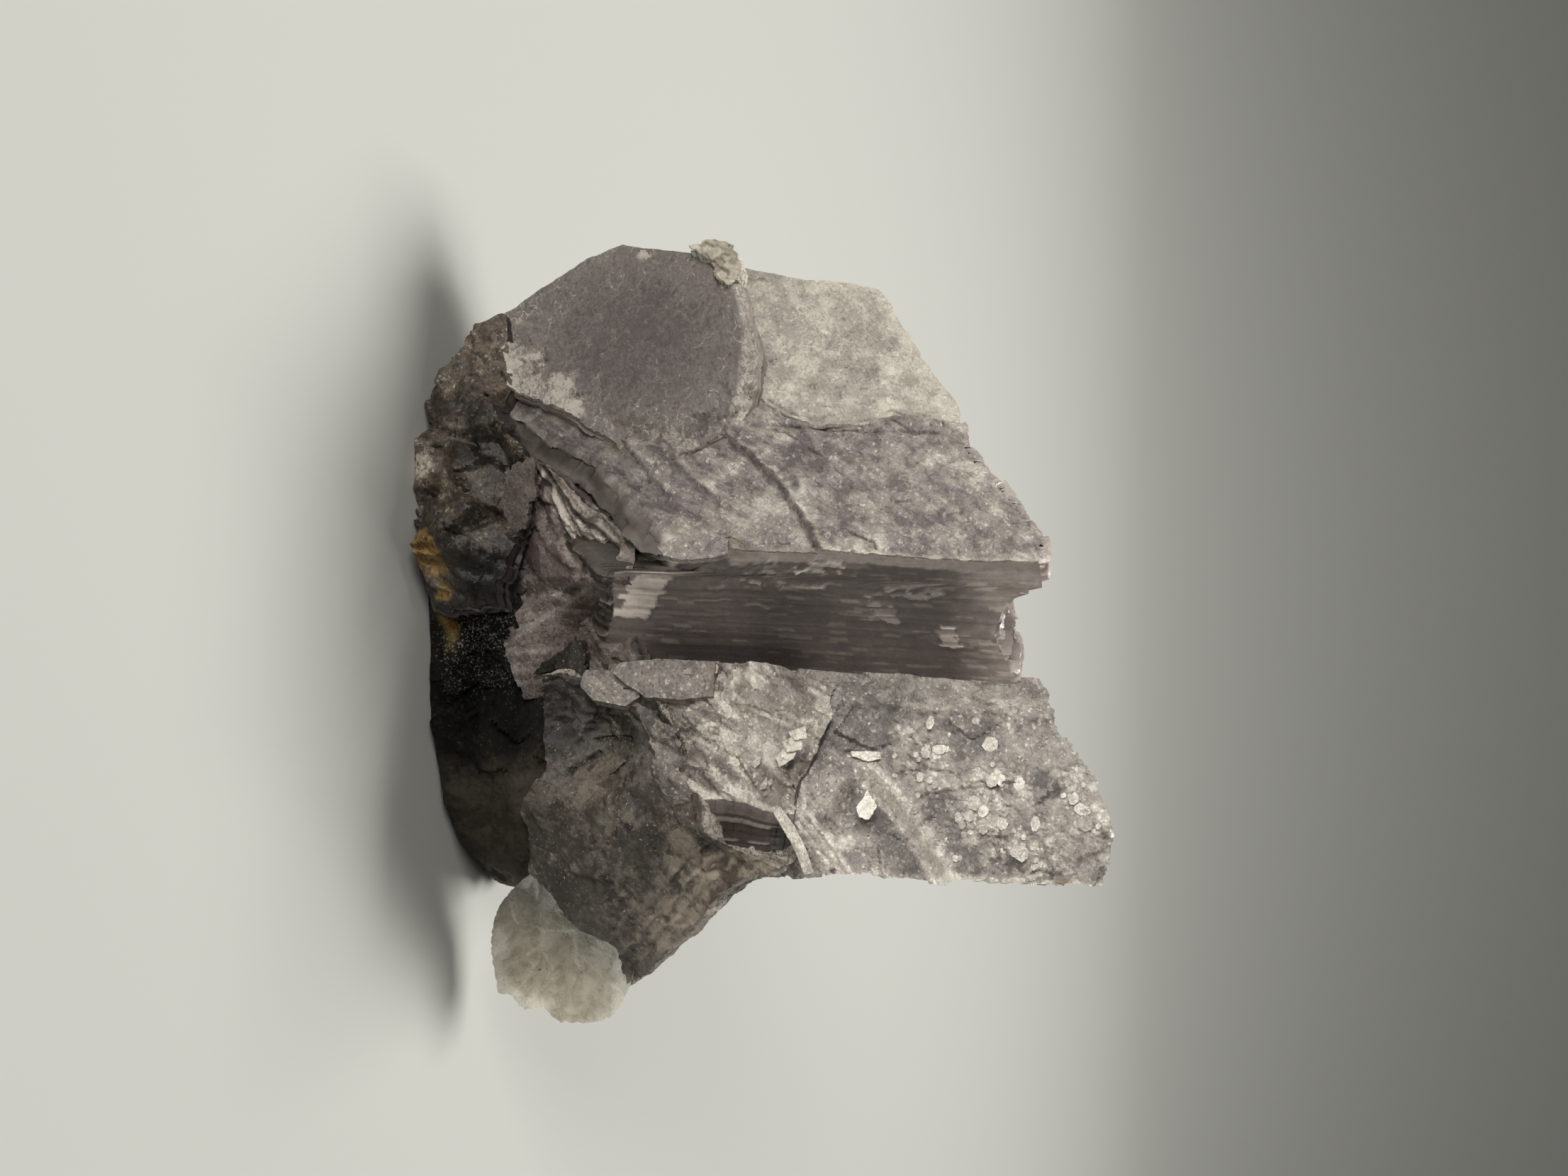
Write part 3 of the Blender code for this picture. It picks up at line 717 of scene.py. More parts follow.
def mica(name, dusky, pearly, bright, rough=0.34, silver=0.25, wall_dark=(0.110, 0.087, 0.080),
         wall_pale=(0.40, 0.35, 0.305), bump=0.10, lean=55.0, facet=0.35, vein=0.2, sparks=0.8):
    """Mica: mottled cleavage faces, from dusky to pearly to bright, in small facets that each slope
    their own way, crossed by hair veins, with a silvery gleam on the pearly parts. The pearly and
    bright tones are partly painted sheen, and the sparks are painted glints in the colour. Where
    the leaves end, the walls are ruled by them and satiny."""
    paint = Paint(name, IOR=1.58, Coat_Roughness=0.2)
    at = paint.vector("leafwise")
    wall = paint.value("wall")
    broad = paint.cloud(at, 0.55, 6.0, 0.72, 0.4)
    small = paint.cloud(at, 2.8, 5.0, 0.75, 0.3)
    fine = paint.cloud(at, 7.0, 4.0, 0.75)
    fibres = paint.cloud(paint.stretched(at, (0.8, 4.5, 1.0), (0, 0, -lean)), 1.0, 5.0, 0.75)
    chip, slopes = paint.chips(at, 1.5, facet)
    grains, tilts = paint.chips(at, 4.0, facet)
    hair = paint.veins(at, 0.25, 0.10) * paint.between(broad, 0.42, 0.55)
    wrinkle = paint.veins(at, 0.55, 0.055, 1.6) * paint.between(broad, 0.48, 0.58)
    # spark: painted glints, small bright flecks mixed into the colour
    spark = paint.between(grains, 0.86, 0.93) * paint.between(small, 0.42, 0.58)
    fleck = paint.between(grains, 0.12, 0.07) * paint.between(small, 0.58, 0.42)
    pearl = (paint.value("pearl") + (broad - 0.5) * 0.45 + (small - 0.5) * 1.0 + (fine - 0.5) * 1.1
             + (fibres - 0.5) * 0.9)
    pearl = pearl + (chip - 0.5) * 0.24 + spark * sparks - fleck * 0.35 + hair * vein - wrinkle * 0.55
    face = paint.mix(paint.between(pearl, 0.05, 0.75), dusky, pearly)
    face = paint.mix(paint.between(pearl, 0.70, 1.35), face, bright)
    streak = paint.cloud(paint.stretched(at, (0.35, 0.28, 5.0)), 1.0, 6.0, 0.8)
    broken = paint.cloud(at, 1.2, 5.0, 0.7)
    ruled = paint.between(streak * 0.34 + broken * 0.50 + paint.value("pearl") * 0.50, 0.40, 1.20)
    wall_colour = paint.mix(ruled, wall_dark, wall_pale)
    colour = paint.scaled(paint.mix(wall, face, wall_colour), paint.value("shade"))
    rust = paint.cloud(at, 1.5, 4.0, 0.7)
    rusty = paint.mix(paint.between(rust, 0.36, 0.54), (0.09, 0.034, 0.008), (0.30, 0.19, 0.06))
    paint.feed("Base Color", paint.mix(paint.value("stain"), colour, rusty))
    gloss = paint.cloud(at, 2.6, 4.0, 0.7)
    paint.feed("Roughness", paint.between(gloss, 0.3, 0.7, rough - 0.08, rough + 0.20))
    gleam = paint.between(pearl, 0.45, 1.2, 0.0, silver)
    paint.feed("Metallic", gleam * (1.0 - wall) + wall * 0.08)
    relief = (small * 0.6 + fine * 0.25 + fibres * 0.35 + broad * 0.8 + hair * 0.15) * bump + slopes + tilts
    relief = relief * (1.0 - wall) + (streak * 0.6 + broken * 0.4) * wall * 0.045
    paint.feed("Normal", paint.bump(relief))
    return paint.material


def dull_mineral(name, dusky, pale, rough, speck, speck_from, bump=0.10, streak=0.0, facet=0.25):
    """A dull mineral surface: slow mottling, grain, faint streaks and scattered pale specks."""
    paint = Paint(name, IOR=1.55, Coat_Roughness=0.2)
    at = paint.vector("leafwise")
    broad = paint.cloud(at, 0.22, 5.0, 0.6, 0.6)
    small = paint.cloud(at, 2.4, 6.0, 0.8)
    dust = paint.cloud(at, 5.0, 3.0, 0.8)
    lines = paint.cloud(paint.stretched(at, (0.9, 4.5, 4.5), (0, 35, 20)), 1.0, 5.0, 0.75)
    slopes = paint.chips(at, 1.3, facet)[1]
    mottle = paint.value("pearl") + (broad - 0.5) * 1.3 + (small - 0.5) * 1.6 + (lines - 0.5) * streak
    colour = paint.mix(paint.between(mottle, 0.1, 1.0), dusky, pale)
    flecks = paint.between(dust * 0.6 + small * 0.4 + (broad - 0.5) * 0.16 + paint.value("wall") * 0.12,
                           speck_from - 0.04, speck_from + 0.04)
    colour = paint.mix(flecks, paint.scaled(colour, paint.value("shade")), speck)
    rust = paint.cloud(at, 0.9, 4.0, 0.7)
    colour = paint.mix(paint.value("stain"), colour,
                       paint.mix(paint.between(rust, 0.34, 0.50), (0.15, 0.05, 0.006), (0.22, 0.16, 0.055)))
    paint.feed("Base Color", colour)
    paint.feed("Roughness", paint.between(small, 0.3, 0.7, rough - 0.12, rough + 0.15))
    paint.feed("Normal", paint.bump((small * 0.7 + dust * 0.35 + lines * 0.3) * bump + slopes))
    return paint.material


def clear_flake():
    """Thin clear mica: pale grey-cream, partly see-through, frosted, with faint growth ribs."""
    paint = Paint("clear_mica_look", IOR=1.45, Transmission_Weight=0.45)
    at = paint.vector("leafwise")
    small = paint.cloud(at, 0.9, 6.0, 0.65, 0.4)
    fine = paint.cloud(at, 3.5, 4.0, 0.7)
    slopes = paint.chips(at, 0.7, 0.20)[1]
    colour = paint.mix(paint.between(small, 0.35, 0.65), (0.31, 0.275, 0.21), (0.47, 0.435, 0.35))
    colour = paint.mix(paint.between(paint.value("pearl") + (fine - 0.5) * 0.5, 0.5, 1.2), colour,
                       (0.74, 0.71, 0.62))
    paint.feed("Base Color", paint.scaled(colour, paint.value("shade")))
    paint.feed("Roughness", paint.between(small, 0.3, 0.7, 0.22, 0.40))
    paint.feed("Normal", paint.bump((small + fine * 0.3) * 0.15 + slopes))
    return paint.material


# ---------------------------------------------------------------- the books of leaves

CENTRE = Face((-6.2, -19.0, 44.5), 35.0, 5.0)
LEFT = Face((-17.6, -11.6, 39.4), 38.0, 8.0)
HEXAGON = Face((-15.7, -15.7, 22.1), 24.0, 2.0)
RIGHT = Face((3.8, -6.0, 41.6), 24.0, 5.0)
SHORT = Face(RIGHT.place(0.0, 0.0, 4.0), 24.0, 5.0)
RIDGE = [(-14.9, -37.5), (-13.5, -34.7), (-11.4, -32.2), (-10.0, -29.5), (-8.5, -26.9), (-6.3, -24.6),
         (-4.3, -22.5), (-2.2, -20.2), (-1.5, -18.4), (-0.9, -15.9), (-0.2, -13.3)]
UPPER_FOLD = [(0.4, -5.8), (-2.3, -7.5), (-4.4, -9.0), (-6.2, -10.4), (-8.0, -12.1), (-9.8, -13.9),
              (-11.6, -16.5),
              (-13.4, -20.0)]
LOWER_FOLD = [(-1.6, -14.2), (-2.8, -15.0), (-5.2, -16.1), (-6.9, -18.0), (-8.4, -19.6), (-9.5, -21.0),
              (-10.0, -23.1), (-10.2, -26.0)]


def centre_front(a, b):
    """The centre book's face. Two folds run down to the left, each with the leaves below it
    broken away; the lower part is fibrous; the upper part is mottled, with cracks."""
    s = Sheet(a, b, 11, 0.52)
    s.swell(0.35, 0.10, 0.15)
    lower = ease(-11.0, -15.0, b + 0.4 * a)
    s.scaled(3.4, 0.75, 0.10, 0.16, 0.04, crack=0.10)
    s.scaled(1.3, 0.55, 0.07, 0.30, 0.10, crack=0.15, seed=3)
    s.swell(0.04, 0.9, 0.30, 3, 4)
    s.strokes(64, 0.10, 1.6, 0.75, 6.0, where=lower)
    s.strokes(50, 0.05, 1.6, 0.50, 4.0, 2, where=1 - lower)
    s.broken(1.6, 0.05, 0.09, 0.22, 0.10)
    s.broken(0.8, 0.03, 0.08, 0.14, 0.0, seed=2)
    s.drop(UPPER_FOLD, 0.70, 0.55, 0.80, 0.28, 1, 0.05, lip=0.75)
    s.drop(LOWER_FOLD, 0.22, 0.40, 0.90, 0.60, 2, 0.25, lip=0.30)
    edge, t = along(RIDGE[:8], a, b)
    slab = ease(2.7, 2.3, edge + 0.35 * fbm(a * 0.8, b * 0.8, 0, 14, 3)) * ease(0.98, 0.80, t)
    s.h -= 0.30 * slab
    s.shade = s.shade * (1 - 0.25 * slab) * (1 - 0.25 * hump(edge - 2.5, 0.22) * ease(0.98, 0.80, t))
    s.pearl = s.pearl - 0.22 * slab + 0.25 * slab * hump(edge - 1.8, 0.5)
    s.crack([(-12.6, 3.0), (-12.8, -2.0), (-12.7, -6.8), (-12.9, -11.1), (-13.0, -13.8)], 0.10, 0.25, 0.55,
            0.06)
    s.crack([(-9.9, -7.6), (-10.4, -8.5), (-11.6, -10.3), (-12.9, -13.0)], 0.10, 0.15, 0.6)
    s.crack([(-12.4, 0.4), (-12.5, -0.4), (-13.7, -1.8), (-14.4, -2.8)], 0.09, 0.2, 0.4)
    s.crack([(-0.3, -1.6), (-1.2, -2.0), (-2.2, -4.2)], 0.09, 0.2, 0.4)
    s.dab((-4.6, -11.2), 2.6, 0.45)
    s.dab((-6.6, -10.0), 1.2, -0.25, 0.85)
    s.dab((-1.4, -3.2), 2.2, 0.25, height=0.1)
    s.dab((-10.0, 1.4), 1.6, 0.35)
    s.dab((-5.0, 1.0), 3.5, -0.18)
    s.dab((-9.0, -9.0), 2.5, -0.25, 0.92)
    s.dab((-10.4, -25.6), 0.75, 0.0, 0.12, 0.35)
    s.dab((-11.2, -27.4), 0.55, 0.0, 0.8, 0.45)
    s.shade = s.shade * (1 - 0.15 * ease(-8.0, -13.0, b + 0.3 * a)) * (1 - 0.15 * ease(-16.0, -24.0, b))
    seam = along([(-1.2, -12.9), (-0.9, -14.6), (-1.3, -17.6)], a, b)[0]
    s.stain = np.maximum(s.stain, 0.5 * hump(seam + 0.15 * fbm(a * 2, b * 2, 0, 16, 3), 0.16))
    d, t = along(UPPER_FOLD[:4], a, b)
    s.stain = np.maximum(s.stain, 0.4 * hump(d + 0.45, 0.14) * ease(0.55, 0.3, t))
    s.pearl += 0.5 * ease(-0.45, -0.1, a - 0.2 * noise(b * 1.5, 0, 0, 17)) * ease(-12.0, -9.0, b)
    return s


def leftover(depth, b, seed, box, steps=0.5):
    """1 on a ragged patch of leftover leaf on a wall, in the box (depth from, to, b from, to)."""
    d = depth + 0.30 * noise(b * 1.1, depth * 0.6, 0, seed)
    low = box[2] + steps * (lattice(np.floor(d * 1.5), 0, 0, seed) - 0.5) * 2
    high = box[3] + steps * (lattice(np.floor(d * 1.9), 1, 0, seed) - 0.5)
    return (ease(box[0], box[0] + 0.15, d) * ease(box[1] + 0.15, box[1], d) * ease(low, low + 0.2, b)
            * ease(high + 0.2, high, b))


def worn(length, depth, seed):
    """Packs of leaves broken back unevenly: 0 at the front edge, then between about -1 and 1, in
    long flat stretches parted by sudden steps, with a ragged grain."""
    drift = fbm(length * 0.10, depth * 0.16, 0, seed, 3)
    bent = length + 2.5 * fbm(length * 0.3, depth * 0.5, 0, seed + 1, 3)
    pack = lattice(np.floor(bent * 0.16), np.floor(depth * 0.55 + 0.8 * drift), 0, seed + 2) - 0.5
    return ((1.1 * drift + 0.8 * pack + 0.35 * fbm(length * 0.6, depth * 1.2, 0, seed + 3, 3))
            * ease(0.8, 3.5, depth))


def centre_wall(leaf, depth, length, side, a, b):
    """The centre book's walls. The right one is dark and satiny, with a pale lip along the face's
    edge, a thin translucent top, and patches of leftover leaf; the lip and the top are painted
    lighter, as painted light showing through the thin leaves. The ridge's wall is a pale slab over a
    darker one, drawn out along it."""
    own = lattice(leaf, 3, 0, 31) - 0.5
    slow = noise(length * 0.12, leaf * 1.7, 0, 32)
    part = lattice(np.floor(length * 0.5 + 0.7 * noise(length * 0.3, leaf * 1.7, 0, 32)), leaf, 5, 33) - 0.5
    glint = (lattice(leaf, np.floor(length * 0.65 + 9 * lattice(leaf, 4, 0, 37)), 5, 38) > 0.88) * 1.0
    push = 0.03 * own + 0.03 * slow
    shade = 1.28 + 0.05 * own + 0.08 * slow + 0.16 * glint
    pearl = 0.16 + 0.10 * own + 0.20 * slow + 0.35 * glint
    near_corner = ease(-20.6, -19.4, b) * (side == 0)
    right = (side == 1) + near_corner
    ragged = b + 1.3 * noise(depth * 0.6, b * 0.25, 0, 35) + 0.5 * noise(depth * 2.1, b * 0.6, 0, 36)
    # top: painted light, paler where light shows through the thin top of the wall
    top = right * ease(2.6, 8.2, ragged)
    middle = right * hump(b + 3.0, 2.8) * ease(2.0, 5.0, depth)
    dark = right * hump(b + 10.5, 3.2) * hump(depth - 6.5, 2.5)
    low = right * ease(-12.5, -15.5, b)
    # lip: painted light, paler where light shows through the thin edge by the face
    lip = right * float(1 - ease(1.25, 1.5, depth))
    calm = right * ease(-22.0, -24.5, b)
    shade = shade * (1 - calm) + 2.0 * calm
    pearl = pearl * (1 - calm) + (0.20 + 0.25 * glint) * calm
    shade = (shade * (1 + 1.2 * top + 0.15 * middle - 0.30 * dark + 0.30 * low) * (1 - lip)
             + 2.25 * (1 + 0.10 * own) * lip)
    pearl = (pearl + 0.50 * top + 0.10 * middle) * (1 - lip) + (0.72 + 0.15 * own) * lip
    push = push * (1 - 0.7 * lip)
    patches = 0.0
    for k, (box, steps, strength) in enumerate((
            ((0.1, 9.8, -20.6, -17.4), 0.6, 1.0), ((8.6, 11.4, 2.4, 4.4), 0.8, 1.0),
            ((3.0, 5.2, -1.6, 3.4), 0.6, 0.62), ((5.0, 9.0, -3.0, -0.8), 0.5, 0.62),
            ((1.5, 2.8, -8.6, -4.6), 0.5, 1.0), ((4.4, 5.0, -11.4, -6.6), 0.6, 0.62),
            ((7.2, 7.5, -14.4, -9.4), 0.6, 0.62), ((1.0, 4.6, -13.6, -10.0), 0.8, 0.62))):
        sunk = b + 0.57 * depth if k == 0 else b
        holes = ease(-0.22, -0.05, fbm(b * 0.9, depth * 1.6, 0, 69 + k, 3)) if k else 1.0
        patches = np.maximum(patches, leftover(depth, sunk, 60 + k, box, steps) * holes * strength)
    patches = patches * right
    patches = patches * np.where(b < -16.0, 0.75 + 0.2 * slow, 0.40 + 0.9 * lattice(leaf, 6, 0, 39))
    push = push + 0.12 * patches
    shade = shade * (1 + 0.75 * patches * (1 - 0.9 * lip))
    pearl = pearl * (1 - 0.5 * patches) + 1.10 * patches * (1 - 0.5 * lip)
    below = (side == 0) - near_corner
    slab = float(1 - ease(0.7, 0.9, depth))
    shade = shade * (1 - below) + (0.33 + 0.08 * slab + 0.22 * own + 0.24 * slow + 0.22 * part) * below
    pearl = pearl * (1 - below) + (0.34 + 0.20 * slab + 0.6 * own + 0.5 * slow + 0.4 * part) * below
    chipped = 0.42 * own + 0.45 * part + 0.35 * fbm(length * 0.9, leaf * 0.9, 0, 34, 4, 0.6)
    push = push * (1 - below) + chipped * below
    above = (side == 2)
    shade = np.where(above, 1.5 + 0.3 * own, shade)
    pearl = np.where(above, 0.9 + part, pearl)
    push = np.where(above, 1.3 * own + 0.7 * part, push)
    hidden = (side == 3) * worn(length, depth, 71)
    push = push + 1.1 * hidden
    pearl = pearl + 0.5 * hidden
    black = right * hump(depth - 2.9, 0.28) * hump(b + 17.3, 0.30)
    stain = 0.35 * right * hump(depth - 0.6, 0.5) * hump(b + 13.0, 0.8) + 0.05 * below
    return push, shade * (1 - 0.9 * black), pearl, stain


def bare(seed, pearl=1.2, shade=1.1, wave=0.06, rate=0.4):
    """A front for a small flake: one tone, gently uneven."""
    def front(a, b):
        s = Sheet(a, b, seed, pearl, shade)
        s.swell(wave, rate, 0.25)
        s.strokes(50, 0.03, 1.6, 0.25)
        return s
    return front


centre = Pile()
book(centre, CENTRE, (
    (0.0, (
        RIDGE,
        [(-0.2, -13.3), (-0.3, -6.5), (0.0, 0.0), (0.0, 11.5)],
        [(-13.6, 3.6), (-11.3, 4.4), (-9.8, 5.1), (-8.1, 6.5), (-6.3, 8.2), (-3.9, 10.1), (-2.2, 11.3),
         (0.0, 11.5)],
        [(-14.9, -37.5), (-15.8, -30.0), (-15.2, -20.0), (-15.9, -14.5), (-13.3, -8.7), (-13.5, -5.1),
         (-14.6, -2.2), (-13.6, 3.6)])),
    (1.2, (
        [(x + 1.7, y - 1.6) for x, y in RIDGE[:8]] + [(-0.3, -19.4), (0.0, -16.9), (-0.1, -14.2)],
        [(-0.1, -14.2), (-0.2, -6.5), (0.1, 0.0), (0.1, 11.6)],
        [(-13.5, 3.5), (-11.3, 4.3), (-9.8, 5.0), (-8.1, 6.4), (-6.3, 8.1), (-3.9, 10.0), (-2.2, 11.3),
         (0.1, 11.6)],
        [(-13.2, -39.1), (-15.4, -30.0), (-15.0, -20.0), (-15.6, -14.5), (-13.2, -8.7), (-13.4, -5.1),
         (-14.3, -2.2), (-13.5, 3.5)])),
    (3.2, (
        [(-14.2, -38.0), (-12.0, -35.4), (-9.6, -32.8), (-8.0, -30.2), (-6.4, -27.6), (-4.4, -25.4),
         (-2.6, -23.4), (-0.9, -21.4), (-0.4, -19.8), (-0.1, -18.4), (0.1, -17.0)],
        [(0.1, -17.0), (0.1, -6.5), (0.2, 0.0), (0.3, 11.6)],
        [(-13.4, 3.4), (-11.3, 4.2), (-9.8, 4.9), (-8.1, 6.3), (-6.3, 8.0), (-3.9, 9.9), (-2.2, 11.3),
         (0.3, 11.6)],
        [(-14.2, -38.0), (-15.0, -30.0), (-14.8, -20.0), (-15.2, -14.5), (-13.1, -8.7), (-13.4, -5.1),
         (-14.0, -2.2), (-13.4, 3.4)])),
    (3.7, (
        [(-14.0, -37.6), (-11.6, -36.2), (-9.2, -34.6), (-7.4, -33.0), (-5.8, -31.4), (-3.8, -29.6),
         (-2.0, -27.8), (-0.8, -26.6), (-0.2, -25.8), (0.0, -25.2), (0.3, -24.6)],
        [(0.3, -24.6), (0.2, -6.5), (0.3, 0.0), (0.3, 10.4)],
        [(-13.3, 3.2), (-11.3, 4.0), (-9.8, 4.6), (-8.1, 5.9), (-6.3, 7.5), (-3.9, 9.3), (-2.2, 10.2),
         (0.3, 10.4)],
        [(-14.0, -37.6), (-15.0, -30.0), (-14.6, -20.0), (-14.9, -14.5), (-13.0, -8.7), (-13.3, -5.1),
         (-13.9, -2.2), (-13.3, 3.2)])),
    (4.6, (
        [(-13.9, -37.4), (-11.5, -36.0), (-9.0, -34.6), (-7.2, -33.0), (-5.6, -31.5), (-3.6, -29.8),
         (-1.9, -28.1), (-0.6, -26.9), (-0.1, -26.2), (0.2, -25.6), (0.4, -25.0)],
        [(0.4, -25.0), (0.3, -6.5), (0.3, 0.0), (0.3, 8.8)],
        [(-13.3, 3.2), (-11.3, 4.0), (-9.8, 4.6), (-8.1, 5.6), (-6.3, 7.0), (-3.9, 8.3), (-2.2, 8.8),
         (0.3, 8.8)],
        [(-13.9, -37.4), (-14.8, -30.0), (-14.5, -20.0), (-14.7, -14.5), (-13.0, -8.7), (-13.3, -5.1),
         (-13.8, -2.2), (-13.3, 3.2)])),
    (9.5, (
        [(-13.6, -36.6), (-11.0, -35.0), (-8.4, -33.2), (-6.4, -31.4), (-4.6, -30.0), (-2.8, -29.0),
         (-1.4, -28.2), (-0.2, -27.4), (0.3, -26.9), (0.6, -26.4), (0.8, -26.0)],
        [(0.8, -26.0), (0.7, -6.5), (0.7, 0.0), (0.8, 7.2)],
        [(-13.0, 3.0), (-11.3, 3.8), (-9.8, 4.4), (-8.1, 5.2), (-6.3, 6.2), (-3.9, 6.9), (-2.2, 7.1),
         (0.8, 7.2)],
        [(-13.6, -36.6), (-14.4, -29.0), (-14.2, -20.0), (-14.0, -14.5), (-13.0, -8.7), (-13.1, -5.1),
         (-13.4, -2.2), (-13.0, 3.0)])),
    (16.5, (
        [(-13.0, -34.0), (-10.6, -33.2), (-8.0, -32.6), (-6.0, -32.0), (-4.2, -31.4), (-2.8, -31.0),
         (-1.4, -30.6), (0.0, -30.2), (0.6, -30.0), (1.1, -29.6), (1.5, -29.0)],
        [(1.5, -29.0), (1.2, -6.5), (1.2, 0.0), (1.2, 8.6)],
        [(-12.5, 2.0), (-11.0, 3.0), (-9.5, 4.0), (-8.0, 5.5), (-6.3, 6.8), (-3.9, 7.8), (-2.0, 8.3),
         (1.2, 8.6)],
        [(-13.0, -34.0), (-13.4, -28.0), (-13.6, -20.0), (-13.4, -14.5), (-12.8, -8.7), (-12.8, -5.1),
         (-12.8, -2.2), (-12.5, 2.0)])),
), spacing=0.24, seed=100, front=centre_front, wall=centre_wall, rag=(0.15, 0.03, 0.35, 0.3),
   leaves=(0.18, 0.45))
plate(centre, CENTRE,
      [(-0.9, -14.0), (0.6, -13.8), (1.2, -15.4), (1.5, -17.4), (1.1, -19.2), (0.2, -19.8), (-0.6, -18.6),
       (-1.2, -16.6)],
      thickness=0.8, front=bare(seed=198, pearl=0.55, shade=1.0, wave=0.10), seed=198, rag=0.20,
      spacing=0.2, lift=0.05, wall_shade=1.5, thin_rim=0.3)
centre_book = centre.mesh("centre_book_leaves")


def plain_wall(shade, pearl, seed, rate=0.25, amount=0.25):
    """A wall ruled by leaf ends: each leaf stands out, and is darker or paler, by its own amount,
    which changes in uneven stretches along it; away from the front, packs of leaves are broken back
    by up to about a millimetre."""
    def wall(leaf, depth, length, side, a, b):
        own = lattice(leaf, 3, 0, seed) - 0.5
        stretch = np.floor(length * rate + 0.7 * noise(length * 0.5, leaf * 1.0, 0, seed))
        part = lattice(stretch, leaf, 5, seed) - 0.5
        slow = noise(length * 0.1, leaf * 1.7, 0, seed + 1)
        back = worn(length, depth, seed + 40)
        push = amount * (0.8 * own + 0.5 * part + 0.2 * slow) + 1.1 * back
        return (push, shade * (1 + 0.20 * own + 0.12 * part + 0.25 * back),
                pearl + 0.2 * own + 0.2 * slow + 0.6 * back, 0.0)
    return wall


def left_front(a, b):
    """The left book's face: nearly flat and brightest, with a pale band along its upper edge, a
    few thin curved cracks and small brownish specks."""
    s = Sheet(a, b, 51, 0.80)
    s.swell(0.25, 0.10, 0.15)
    s.scaled(4.5, 0.6, 0.07, 0.14, 0.02, crack=0.12)
    s.scaled(1.5, 0.45, 0.05, 0.22, 0.05, crack=0.10, seed=5)
    s.swell(0.03, 0.8, 0.35, 3, 4)
    s.broken(1.4, 0.02, 0.05, 0.14, 0.06)
    d = along([(-16.4, -5.0), (-16.2, -1.4), (-13.0, 0.9), (-8.1, 3.9), (-3.4, 7.0), (-0.4, 8.4)], a, b)[0]
    s.pearl += 0.40 * hump(d, 1.3)
    s.crack([(-0.2, 6.6), (-1.3, 5.2), (-0.8, 4.1), (-1.6, 2.8), (-0.4, 0.7), (0.0, -0.5)], 0.09, 0.2, 0.45,
            0.12)
    s.crack([(-0.6, -2.0), (-0.2, -3.5), (-0.4, -5.5), (-1.4, -7.4), (-2.6, -8.9)], 0.10, 0.2, 0.5, 0.12)
    s.crack([(-11.6, -1.6), (-11.0, -2.2), (-9.2, -3.1), (-7.9, -3.5)], 0.08, 0.12, 0.55)
    s.crack([(-13.4, -5.2), (-13.0, -6.4), (-12.2, -8.0)], 0.07, 0.1, 0.6)
    for at, size in (((-5.3, 0.2), 0.8), ((-3.6, -0.2), 0.5), ((-4.0, -4.9), 0.7), ((-8.2, -3.3), 0.5),
                     ((-9.4, 0.6), 1.1)):
        s.dab(at, size, -0.16, 0.95, ragged=0.8)
    s.dab((-2.6, -7.2), 1.8, 0.45)
    s.dab((-1.6, 1.8), 1.4, 0.30)
    s.strokes(28, 0.04, 1.4, 0.30, 5.0, where=ease(-4.0, -8.0, b))
    s.pearl -= 0.12 * hump(b + 1.0, 2.5) * hump(a + 9.0, 5.0)
    return s


left = Pile()
book(left, LEFT, (
    (0.0, (
        [(-16.0, -26.0), (-8.0, -26.5), (-3.0, -25.0)],
        [(-3.0, -25.0), (-3.0, -14.0), (-2.4, -9.5), (-0.2, -6.1), (0.6, -3.5), (0.4, 0.1), (-1.0, 2.8),
         (-0.5, 8.4)],
        [(-15.6, -0.9), (-14.0, 0.4), (-12.5, 1.1), (-10.2, 2.6), (-8.2, 3.9), (-5.8, 5.5), (-3.5, 7.3),
         (-2.0, 8.1), (-0.5, 8.4)],
        [(-16.0, -26.0), (-17.6, -17.0), (-17.5, -13.4), (-17.0, -11.0), (-16.5, -9.0), (-16.3, -6.7),
         (-16.2, -3.4), (-15.6, -0.9)])),
    (3.0, (
        [(-15.6, -26.0), (-8.0, -26.5), (-2.0, -25.0)],
        [(-2.0, -25.0), (-2.0, -14.0), (-1.4, -9.5), (0.2, -6.1), (0.8, -3.5), (0.8, 0.1), (0.4, 2.8),
         (0.6, 8.0)],
        [(-15.2, -1.3), (-13.8, 0.0), (-12.3, 0.8), (-10.0, 2.3), (-8.0, 3.6), (-5.6, 5.2), (-3.3, 7.0),
         (-1.6, 7.8), (0.6, 8.0)],
        [(-15.6, -26.0), (-17.0, -17.0), (-16.9, -13.4), (-16.5, -11.0), (-16.0, -9.0), (-15.9, -6.7),
         (-15.8, -3.4), (-15.2, -1.3)])),
    (14.0, (
        [(-12.0, -27.0), (-7.0, -27.5), (1.0, -26.0)],
        [(1.0, -26.0), (1.0, -14.0), (1.2, -9.5), (1.5, -6.1), (1.5, -3.5), (1.5, 0.1), (1.2, 1.8),
         (1.0, 3.6)],
        [(-12.0, -4.5), (-11.0, -3.6), (-10.0, -2.6), (-8.4, -1.2), (-6.6, -0.2), (-4.6, 1.0), (-2.6, 2.4),
         (-1.0, 3.2), (1.0, 3.6)],
        [(-12.0, -27.0), (-12.8, -17.0), (-12.8, -14.4), (-12.8, -12.0), (-12.7, -10.0), (-12.5, -8.7),
         (-12.3, -6.4), (-12.0, -4.5)])),
), spacing=0.24, seed=200, front=left_front, wall=plain_wall(shade=1.1, pearl=0.5, seed=32),
   rag=(0.2, 0.2, 0.12, 0.08))
left_book = left.mesh("left_book_leaves")


